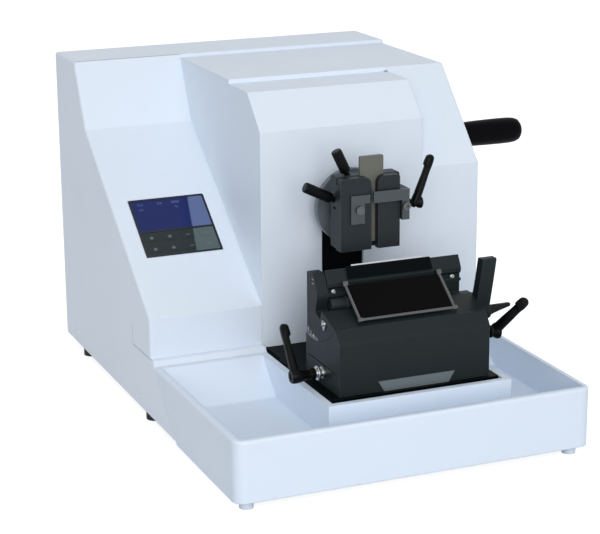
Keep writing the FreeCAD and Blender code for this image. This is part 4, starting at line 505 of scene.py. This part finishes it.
def dress_nodes():
    """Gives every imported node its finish."""
    for material, names in DRESS.items():
        for name in names:
            mesh = nodes[name].data
            if mesh.materials:
                for index in range(len(mesh.materials)):
                    mesh.materials[index] = material
            else:
                mesh.materials.append(material)


# Surfaces worked out from arrays


def add_piece(name, mesh, material, body, sharp=40.0):
    """Puts a finished mesh into the scene on the body that carries it."""
    mesh.materials.append(material)
    mesh.shade_smooth()
    mesh.set_sharp_from_angle(angle=math.radians(sharp))
    piece = bpy.data.objects.new(name, mesh)
    bpy.context.scene.collection.objects.link(piece)
    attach(piece, body)
    return piece


def skin(name, rings):
    """A closed tube over rings of points, an array of rings by points by three; the ring order
    follows the path, and each end is closed by one flat face."""
    count, around, _ = rings.shape
    index = np.arange(count * around).reshape(count, around)
    a = index[:-1]
    b = index[1:]
    quads = np.stack((a, np.roll(a, -1, 1), np.roll(b, -1, 1), b), -1).reshape(-1, 4)
    faces = [tuple(face) for face in quads.tolist()]
    faces.append(tuple(index[0][::-1].tolist()))
    faces.append(tuple(index[-1].tolist()))
    mesh = bpy.data.meshes.new(name)
    mesh.from_pydata(rings.reshape(-1, 3).tolist(), [], faces)
    mesh.update()
    return mesh


def across(axis):
    """Two unit directions square to an axis."""
    helper = UP if abs(axis[2]) < 0.9 else RIGHT
    first = unit(np.cross(helper, axis))
    return first, np.cross(axis, first)


def lathe(profile, start, axis, around=48, ripple=0.0, ripples=0, ripple_from=0, ripple_to=0):
    """Turned shape: radius r at height h, swept through angle w. The point is
    start + h axis + r (cos w e1 + sin w e2); between two profile rows the radius can be
    lowered by ripple times (1 + cos(ripples w)) / 2, which gives flutes."""
    axis = unit(axis)
    e1, e2 = across(axis)
    rows = np.array(profile, float) / PER_METRE
    angle = np.linspace(0, FULL_TURN, around, endpoint=False)
    radius = np.repeat(rows[:, :1], around, 1)
    if ripples:
        wave = ripple / PER_METRE * (1 + np.cos(ripples * angle)) / 2
        radius[ripple_from:ripple_to] -= wave
    ring = np.cos(angle)[:, None] * e1 + np.sin(angle)[:, None] * e2
    return start + rows[:, 1][:, None, None] * axis + radius[:, :, None] * ring[None]


def smooth_steps(xs, ys, at):
    """Eased values between given stations: the share t becomes 3t^2 - 2t^3 in each span."""
    xs = np.array(xs, float)
    ys = np.array(ys, float)
    k = np.clip(np.searchsorted(xs, at, side="right") - 1, 0, len(xs) - 2)
    t = np.clip((at - xs[k]) / (xs[k + 1] - xs[k]), 0, 1)
    t = t * t * (3 - 2 * t)
    return ys[k] + (ys[k + 1] - ys[k]) * t


def tip_shares(first, length, from_share, count):
    """Shares of a length that crowd towards its tip, as a quarter wave does."""
    return first + length * np.sin(np.linspace(from_share, 1, count) * np.pi / 2)


def tip_closing(s, first, length):
    """The factor sqrt(1 - q^2) that rounds a tip, q counting from first over length."""
    q = np.clip((s - first) / length, 0, 1)
    return np.sqrt(1 - q * q)


def squared_ring(around, power):
    """A circle whose cosine and sine are raised to a power below one: a rounded square."""
    angle = np.linspace(0, FULL_TURN, around, endpoint=False)
    c, d = np.cos(angle), np.sin(angle)
    return np.sign(c) * np.abs(c) ** power, np.sign(d) * np.abs(d) ** power


# Shares of a lever arm's length: where its half sizes are given, where its inner half swells,
# where its tip begins and the last section, just short of the tip
ARM_STATIONS = (0, 0.20, 0.70, 0.82, 1)
SWELL_STATIONS = (0, 0.735, 0.775, 1)
ARM_TIP, ARM_TIP_LENGTH = 0.92, 0.08
ARM_END = 0.9996


def handle(start, outward, radial, height, reach, rise, wide, thick, bulb):
    """Clamp lever's arm. The centre line is straight, from the hub to reach along radial and
    rise along outward. The section at share s is a rounded box with half sizes a(s) and b(s),
    its inner half thicker by bulb past three quarters, and closed by sqrt(1 - q^2) at the tip."""
    s = np.concatenate((np.linspace(0, 0.70, 18), np.linspace(0.72, 0.80, 9),
                        np.linspace(0.82, ARM_TIP, 6),
                        tip_shares(ARM_TIP, ARM_TIP_LENGTH, 0.1, 12)))
    s[-1] = ARM_END
    outward = unit(outward)
    radial = unit(radial)
    side = np.cross(outward, radial)
    line = (start[None] + outward * ((height + rise * s) / PER_METRE)[:, None]
            + radial * (reach * s / PER_METRE)[:, None])
    along = unit(outward * rise + radial * reach)
    inner = np.cross(side, along)
    a = smooth_steps(ARM_STATIONS, wide, s) / PER_METRE
    b = smooth_steps(ARM_STATIONS, thick, s) / PER_METRE
    swell = smooth_steps(SWELL_STATIONS, (0, 0, bulb, bulb), s) / PER_METRE
    close = tip_closing(s, ARM_TIP, ARM_TIP_LENGTH)
    c, d = squared_ring(40, 0.7)
    deep = b[:, None] * d[None] + swell[:, None] * np.clip(d, 0, 1)[None]
    return (line[:, None] + (a * close)[:, None, None] * c[None, :, None] * side
            + (close[:, None] * deep)[:, :, None] * inner)


def hex_socket(name, place, axis, radius, depth, body, domed=False):
    """A cap screw's head: a turned rim round a six-sided hole. The hole's edge lies at
    r cos(30) / cos(w mod 60 - 30) from the axis, which is a hexagon's own law."""
    key_share = 0.52
    dome_share = 0.25
    axis = unit(axis)
    e1, e2 = across(axis)
    angle = np.linspace(0, FULL_TURN, 48, endpoint=False)
    six = np.cos(np.pi / 6) / np.cos((angle % (np.pi / 3)) - np.pi / 6)
    ring = np.cos(angle)[:, None] * e1 + np.sin(angle)[:, None] * e2
    key = radius * key_share * six
    full = np.ones_like(angle)
    top = dome_share * radius if domed else 0.0
    rows = [(radius * full, -depth), (radius * full, -0.18 * radius), (radius * 0.86 * full, 0.0),
            (key * 1.06, top), (key, top - 0.08 * radius), (key * 0.98, -0.8 * radius),
            (key * 0.2, -0.9 * radius)]
    rings = np.stack([place + axis * (h / PER_METRE) + (r / PER_METRE)[:, None] * ring
                      for r, h in rows])
    add_piece(name, skin(name, rings), STEEL, body, sharp=30.0)


def slab(name, corners, normal, height, material, body):
    """A thin flat mark: its outline raised by height along the normal."""
    normal = unit(normal)
    ring = np.array(corners, float)
    turn = np.sum(np.cross(ring, np.roll(ring, -1, 0)), axis=0)
    if np.dot(turn, normal) < 0:
        ring = ring[::-1]
    rings = np.stack((ring, ring + normal * height / PER_METRE))
    add_piece(name, skin(name, rings), material, body, sharp=20.0)


def figures(name, text, place, right, up, size, material, body, height):
    """Plain numbers in Blender's own letters, flat on a face whose axes are right and up."""
    curve = bpy.data.curves.new(name, "FONT")
    curve.body = text
    curve.size = size / PER_METRE
    curve.align_x = "CENTER"
    curve.align_y = "CENTER"
    curve.extrude = height / PER_METRE
    curve.resolution_u = 3
    helper = bpy.data.objects.new(name + "_outline", curve)
    bpy.context.scene.collection.objects.link(helper)
    bpy.context.view_layer.update()
    shaped = helper.evaluated_get(bpy.context.evaluated_depsgraph_get())
    mesh = bpy.data.meshes.new_from_object(shaped)
    bpy.data.objects.remove(helper)
    bpy.data.curves.remove(curve)
    right = unit(right)
    up = unit(up)
    turn = Matrix((right, up, np.cross(right, up))).transposed().to_4x4()
    mesh.transform(Matrix.Translation(place) @ turn)
    mesh.materials.clear()
    mesh.name = name
    add_piece(name, mesh, material, body, sharp=20.0)


# Levers, knobs and the grip

# An arm's half widths and half depths at its stations, how far it swells inwards and how far it
# runs past its reach, all as shares of the arm's own half size
ARM_WIDTHS = np.array((1.0, 0.90, 0.80, 0.92, 0.80))
ARM_DEPTHS = np.array((0.9, 0.76, 0.66, 0.70, 0.62))
ARM_SWELL = 0.38
ARM_OVERRUN = 0.8


def clamp_lever(name, at, outward, radial, hub, length, share, reach, rise, arm, body):
    """A black clamping lever: a hub that widens outwards, a notched arm and the hub's screw.
    hub is the hub's radius, length its length, share how far out on it the arm begins, and arm
    the arm's half size."""
    screw_share, screw_sink = 0.36, 1.1
    profile = [(hub * 0.1, 0.3), (hub * 0.72, 0.3), (hub * 0.78, 0.9), (hub * 0.78, length * 0.20),
               (hub * 0.66, length * 0.24), (hub * 0.70, length * 0.40), (hub * 0.88, length * 0.58),
               (hub * 0.99, length * 0.74), (hub, length * 0.92), (hub * 0.88, length),
               (hub * 0.44, length), (hub * 0.42, length - 1.2), (hub * 0.05, length - 1.3)]
    shell = add_piece(name + "_hub", skin(name + "_hub", lathe(profile, at, outward)),
                      LEVER_BLACK, body, sharp=35.0)
    rings = handle(at, outward, radial, length * share, reach + arm * ARM_OVERRUN, rise,
                   ARM_WIDTHS * arm, ARM_DEPTHS * arm, arm * ARM_SWELL)
    add_piece(name + "_arm", skin(name + "_arm", rings), LEVER_BLACK, body,
              sharp=60.0)
    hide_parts(name)
    hex_socket(name + "_screw", at + outward * (length - screw_sink) / PER_METRE, outward,
               hub * screw_share, 1.0, body)


def make_levers():
    """Each hub sits on its node's axis; the base lever's sleeve covers the end of its shaft."""
    sleeve = 10
    head_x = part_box("head_clamp_lever")[0][0] * PER_METRE + ORIGIN[0]
    base_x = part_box("base_clamp_lever")[1][0] * PER_METRE + ORIGIN[0]
    clamp_lever("head_clamp_lever", spot(head_x, 176, 233), RIGHT, (0, 0.05, 1), hub=6.6,
                length=10.0, share=0.30, reach=44.0, rise=20.0, arm=5.0, body="head_lever")
    clamp_lever("base_clamp_lever", spot(base_x + sleeve, 108, 88), LEFT, (0, 0.6, 1), hub=7.4,
                length=26.0, share=0.80, reach=50.0, rise=2.6, arm=5.2, body="base_lever")
    clamp_lever("tilt_lock_lever", spot(311, 92, 112), RIGHT, (0, -0.65, 1), hub=8.5,
                length=12.0, share=0.55, reach=40.0, rise=24.0, arm=5.6, body="tilt_lever")


def make_knobs():
    """Two finely fluted knobs on their stems, with a smooth lighter disc set in each end that paints
    the reflection on the end face. Each row below holds a knob, its body, its angle about the ring's
    centre and where it begins."""
    centre = spot(218, 189, 224)
    for name, body, angle, low in (("swing_knob", "knob_swing", 116.0, 50.5),
                                   ("tilt_knob", "knob_tilt", 153.5, 43.5)):
        turn = math.radians(angle)
        axis = np.array((math.cos(turn), 0, math.sin(turn)))
        profile = [(0.2, 39.6), (3.0, 39.6), (3.0, low), (4.4, low + 0.1), (5.0, low + 0.5),
                   (5.4, low + 1.6), (5.6, low + 2.4), (5.6, 73.4), (5.5, 74.6), (5.1, 75.5),
                   (4.6, 75.8), (4.5, 75.3), (0.2, 75.3)]
        rings = lathe(profile, centre, axis, around=96, ripple=0.25, ripples=32, ripple_from=5,
                      ripple_to=9)
        knob = add_piece(name + "_fluted", skin(name + "_fluted", rings), LEVER_BLACK, body,
                         sharp=35.0)
        # Each end disc, lighter than the knob, is a painted reflection
        disc = lathe([(0.2, 75.2), (4.4, 75.2), (4.4, 75.7), (4.0, 75.95), (0.2, 76.0)], centre,
                     axis)
        add_piece(name + "_disc", skin(name + "_disc", disc), HEAD_PAINT, body)
        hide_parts(name)


def make_grip():
    """The handwheel's grip: a long cone with a collar groove, a swelling end and a soft dome."""
    wheel_y, wheel_level = 405, 194
    grip_circle = 66
    swing = math.radians(27)
    start = spot(0, wheel_y - grip_circle * math.sin(swing),
                 wheel_level + grip_circle * math.cos(swing))
    profile = [(5.06, 406.4), (11.2, 406.4), (12.0, 407.2), (12.1, 409.6), (11.5, 410.4),
               (11.6, 411.2), (12.6, 412.6), (13.4, 418.0), (14.1, 428.0), (14.6, 442.0),
               (14.9, 458.0), (15.0, 474.0), (14.8, 486.0), (14.0, 492.6), (12.4, 496.8),
               (9.6, 499.2), (5.0, 499.9), (0.4, 500.0)]
    cone = skin("grip_black_cone", lathe(profile, start, RIGHT, around=64))
    piece = add_piece("grip_black_cone", cone, GRIP_BLACK, "grip", sharp=50.0)
    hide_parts("wheel_grip")


# Display and scale

# The console's slope runs from its lip to its knee, and the panel begins at a share of it
CONSOLE_FRONT, CONSOLE_DEPTH = 247, 211
CONSOLE_LIP, CONSOLE_KNEE = 119.6, 279
PANEL_SIDE, PANEL_LOW_SHARE = 20, 0.3

# Each screen figure's text, place on the panel and height
SCREEN_ROWS = [("12.5", 12, 71.5, 4.0), ("0.0", 34, 71.5, 4.6), ("0000", 52, 71.5, 4.6),
               ("8.0", 12, 64.5, 3.6), ("35", 52, 65.0, 3.6)]
FIGURE_LIFT, FIGURE_HEIGHT = 0.08, 0.03
KEY_COLUMNS, KEY_LINES = 4, 2
KEY_MARGIN, KEY_WIDTH, KEY_HEIGHT = 2.2, 20.4, 15.4
MARK_LIFT, MARK_HEIGHT = 0.42, 0.06


def key_mark(column, line):
    """A key's mark as points around its centre: discs, then bars, then arrows down and up."""
    disc = 1.9
    bar_x, bar_y = 2.4, 0.4
    arrow_x, arrow_foot, arrow_tip = 2.2, 1.3, 1.9
    if column == KEY_COLUMNS - 1:
        sign = 1 if line else -1
        return [(-arrow_x, -arrow_foot * sign), (arrow_x, -arrow_foot * sign),
                (0, arrow_tip * sign)]
    if column == KEY_COLUMNS - 2:
        return [(-bar_x, -bar_y), (bar_x, -bar_y), (bar_x, bar_y), (-bar_x, bar_y)]
    ring = np.linspace(0, FULL_TURN, 24, endpoint=False)
    return [(disc * math.cos(w), disc * math.sin(w)) for w in ring]


def make_display():
    """Plain figures on the screen and plain key marks on the film below it."""
    slope = CONSOLE_KNEE - CONSOLE_LIP
    corner = spot(PANEL_SIDE, CONSOLE_FRONT + CONSOLE_DEPTH * PANEL_LOW_SHARE,
                  CONSOLE_LIP + slope * PANEL_LOW_SHARE)
    up = unit((0, CONSOLE_DEPTH, slope))
    out = np.cross(RIGHT, up)

    def on(x, y, lift):
        return corner + (RIGHT * x + up * y + out * lift) / PER_METRE

    for number, (text, x, y, size) in enumerate(SCREEN_ROWS):
        figures("screen_figure_%d" % number, text, on(x, y, FIGURE_LIFT), RIGHT, up, size,
                FIGURES, "machine", FIGURE_HEIGHT)
    for column in range(KEY_COLUMNS):
        for line in range(KEY_LINES):
            x = KEY_MARGIN + KEY_WIDTH * (column + 0.5)
            y = KEY_MARGIN + KEY_HEIGHT * (line + 0.5)
            mark = [on(x + u, y + v, MARK_LIFT) for u, v in key_mark(column, line)]
            slab("key_mark_%d_%d" % (column, line), mark, out, MARK_HEIGHT, KEY_PRINT, "machine")


# The cutting edge as (y, z), about which the segment tilts in its seat
EDGE = np.array((136.8, 186.8))
SEAT_RADIUS = 72.7

# The scale on the segment's left face: its plane, its radius about the edge, the strokes' angles
# from straight down, the y between which strokes are printed, and their lengths and half width
SCALE_X = 135.97
SCALE_RADIUS = 72.2
SCALE_DEGREES = np.arange(-16, 18, 2.0)
SCALE_FROM, SCALE_TO = 122.0, 150.0
LONG_STROKE, SHORT_STROKE, HALF_STROKE = 4.2, 2.6, 0.22
STROKE_HEIGHT = 0.05

# Each scale figure's text and (y, z), the size of all of them and how far they stand out
SCALE_ROWS = [("0", 148.0, 121.6), ("2", 141.5, 119.0), ("4", 134.6, 118.0)]
SCALE_FIGURE, SCALE_FIGURE_HEIGHT = 6.4, 0.04


def scale_mark(name, corners):
    """A printed stroke on the segment's left face, from its corners' (y, z)."""
    slab(name, [spot(SCALE_X, y, z) for y, z in corners], LEFT, STROKE_HEIGHT, PRINT, "segment")


def make_scale():
    """Degree figures and strokes on the segment's left face, and two strokes on its ear."""
    for number, (text, y, z) in enumerate(SCALE_ROWS):
        figures("scale_figure_%d" % number, text, spot(SCALE_X, y, z), FRONT, UP, SCALE_FIGURE,
                PRINT, "segment", SCALE_FIGURE_HEIGHT)
    for number, degree in enumerate(SCALE_DEGREES):
        turn = math.radians(degree + 270)
        long = LONG_STROKE if number % 2 == 0 else SHORT_STROKE
        way = np.array((math.cos(turn), math.sin(turn)))
        side = np.array((-way[1], way[0])) * HALF_STROKE
        a = EDGE + way * SCALE_RADIUS
        b = EDGE + way * (SCALE_RADIUS - long)
        if SCALE_FROM <= a[0] <= SCALE_TO:
            scale_mark("scale_stroke_%02d" % number, (a - side, a + side, b + side, b - side))
    thick = 0.5
    for number, z in enumerate((172.0, 176.0)):
        scale_mark("ear_stroke_%d" % number,
                   ((134.0, z), (138.0, z), (138.0, z + thick), (134.0, z + thick)))


# Segment, finger lever and fasteners


def rounded(outline):
    """A closed outline (y, z, r) with soft corners: round each corner c the line follows
    (1 - t)^2 a + 2 t (1 - t) c + t^2 b, where a and b lie r before and after it."""
    corners = np.array(outline, float)
    here, reach = corners[:, :2], corners[:, 2:]
    before = np.roll(here, 1, 0) - here
    after = np.roll(here, -1, 0) - here
    a = here + before / np.linalg.norm(before, axis=1)[:, None] * reach
    b = here + after / np.linalg.norm(after, axis=1)[:, None] * reach
    t = np.linspace(0, 1, 6)[None, :, None]
    return ((1 - t) ** 2 * a[:, None] + 2 * t * (1 - t) * here[:, None]
            + t * t * b[:, None]).reshape(-1, 2)


def segment_bar(name, ring, low, high):
    """A bar of the segment along x between low and high; its section is the ring of (y, z)."""
    y, z = ring[:, 0], ring[:, 1]
    if np.sum(y * np.roll(z, -1) - np.roll(y, -1) * z) < 0:
        ring = ring[::-1]
    rings = np.stack([np.column_stack((np.full(len(ring), x), ring)) for x in (low, high)])
    return add_piece(name, skin(name, (rings - ORIGIN) / PER_METRE), HOLDER, "segment",
                     sharp=30.0)


def seat_arc(first_y, last_y):
    """The segment's round underside, a circle of radius R about the cutting edge at (Y, Z):
    z = Z - sqrt(R^2 - (y - Y)^2)."""
    edge_y, edge_level = EDGE
    start = math.acos((first_y - edge_y) / SEAT_RADIUS)
    end = math.acos((last_y - edge_y) / SEAT_RADIUS)
    angle = np.linspace(start, end, 40)
    return np.column_stack((edge_y + SEAT_RADIUS * np.cos(angle),
                            edge_level - SEAT_RADIUS * np.sin(angle)))


# The segment along x: its left face, the ear's right face, the step to its shorter end, its
# right face and the post's two faces; and along y: its front, the shorter end's front, its back
SEGMENT_LEFT, EAR_RIGHT, SEGMENT_STEP, SEGMENT_RIGHT = 136.0, 148.0, 301.3, 317.0
POST_LEFT, POST_RIGHT = 301.4, 316.9
SEGMENT_FRONT, END_FRONT, SEGMENT_BACK = 82.2, 101.0, 151.0

# Section outlines as (y, z, corner reach)
CROWN = [(115.0, 149.0, 1.5), (117.5, 139.5, 1.0), (SEGMENT_BACK, 139.5, 0.5),
         (SEGMENT_BACK, 116.0, 0.2)]
LONG_TOP = [(SEGMENT_FRONT, 139.0, 0.2), (84.0, 139.0, 1.0)] + CROWN
END_TOP = [(END_FRONT, 124.0, 0.2), (END_FRONT, 144.5, 1.5)] + CROWN
LEFT_EAR = [(117.6, 139.45, 0.3), (130.7, 144.0, 3.0), (124.4, 161.7, 7.0), (135.0, 182.0, 3.5),
            (SEGMENT_BACK, 182.0, 3.0), (SEGMENT_BACK, 139.45, 0.3)]
RIGHT_POST = [(END_FRONT, 136.0, 0.3), (92.0, 172.0, 12.0), (88.0, 190.0, 2.0),
              (99.0, 190.0, 2.0), (103.0, 172.0, 12.0), (113.0, 136.0, 0.3)]


def make_segment():
    """The tilting segment with its broad left ear and its slim leaning right post."""
    long = np.concatenate((rounded(LONG_TOP), seat_arc(SEGMENT_BACK, SEGMENT_FRONT)[1:-1]))
    end = np.concatenate((rounded(END_TOP), seat_arc(SEGMENT_BACK, END_FRONT)[1:-1]))
    body = segment_bar("segment_long", long, SEGMENT_LEFT, SEGMENT_STEP)
    segment_bar("segment_end", end, SEGMENT_STEP, SEGMENT_RIGHT)
    segment_bar("segment_left_ear", rounded(LEFT_EAR), SEGMENT_LEFT, EAR_RIGHT)
    segment_bar("segment_right_post", rounded(RIGHT_POST), POST_LEFT, POST_RIGHT)
    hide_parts("tilt_segment")


def make_finger_lever():
    """The blade shift's flat lever: a hub on its pin and a blade along x whose upper edge is
    straight while its height falls from root to tip, h(s) = 12.5 - 9.3 s^0.8."""
    pin_y, pin_level = 110.0, 128.0
    blade_top, half_thick = 134.0, 2.5
    blade_x, blade_length = 317.6, 28.0
    root_height, height_fall, fall_power = 12.5, 9.3, 0.8
    tip, tip_length, tip_end = 0.94, 0.06, 0.9995
    profile = [(0.2, 314.4), (3.4, 314.4), (3.4, 317.3), (6.6, 317.4), (7.0, 318.0),
               (7.0, 320.2), (6.4, 320.8), (0.2, 320.8)]
    hub = add_piece("shift_hub", skin("shift_hub", lathe(profile, spot(0, pin_y, pin_level), RIGHT)),
                    SHIFT_PAINT, "shift")
    s = np.concatenate((np.linspace(0, tip, 24), tip_shares(tip, tip_length, 0.15, 8)))
    s[-1] = tip_end
    high = root_height - height_fall * s ** fall_power
    close = tip_closing(s, tip, tip_length)
    c, d = squared_ring(28, 0.35)
    y = pin_y + (half_thick * close)[:, None] * c[None]
    z = (blade_top - high / 2)[:, None] + (high / 2 * close)[:, None] * d[None]
    x = np.repeat((blade_x + blade_length * s)[:, None], len(c), 1)
    rings = (np.stack((x, y, z), -1) - ORIGIN) / PER_METRE
    add_piece("shift_blade", skin("shift_blade", rings), SHIFT_PAINT, "shift", sharp=50.0)
    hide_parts("shift_lever")


def make_fasteners():
    """Socket heads on the screws that show. The side screws' heads are sunk in the covers."""
    sunk = 0.25
    level, head = 25.5, 3.3
    right_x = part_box("main_cover")[1][0] * PER_METRE + ORIGIN[0] - sunk
    for number, y in enumerate((280, 401.5, 523)):
        hex_socket("cover_socket_left_%d" % number, spot(sunk, y, level), LEFT, head, 0.1,
                   "machine")
        hex_socket("cover_socket_right_%d" % number, spot(right_x, y, level), RIGHT, head, 0.1,
                   "machine")
    for name, place, radius in (("bed_screw_left", (155.5, 128.9, 163), 2.6),
                                ("bed_screw_low", (158, 125.9, 141.4), 1.4),
                                ("bed_screw_right", (288, 128.9, 163), 2.6)):
        hex_socket(name, spot(*place), FRONT, radius, 0.2, "blade_bed", domed=True)
    hex_socket("index_screw", spot(133.5, 107, 138.4), LEFT, 2.2, 0.1, "segment", domed=True)


make_camera()
make_world()
make_floor()
for lamp in LAMPS:
    make_lamp(*lamp)
dress_nodes()
make_levers()
make_knobs()
make_grip()
make_display()
make_scale()
make_segment()
make_finger_lever()
make_fasteners()

bpy.context.scene.view_settings.view_transform = "Standard"
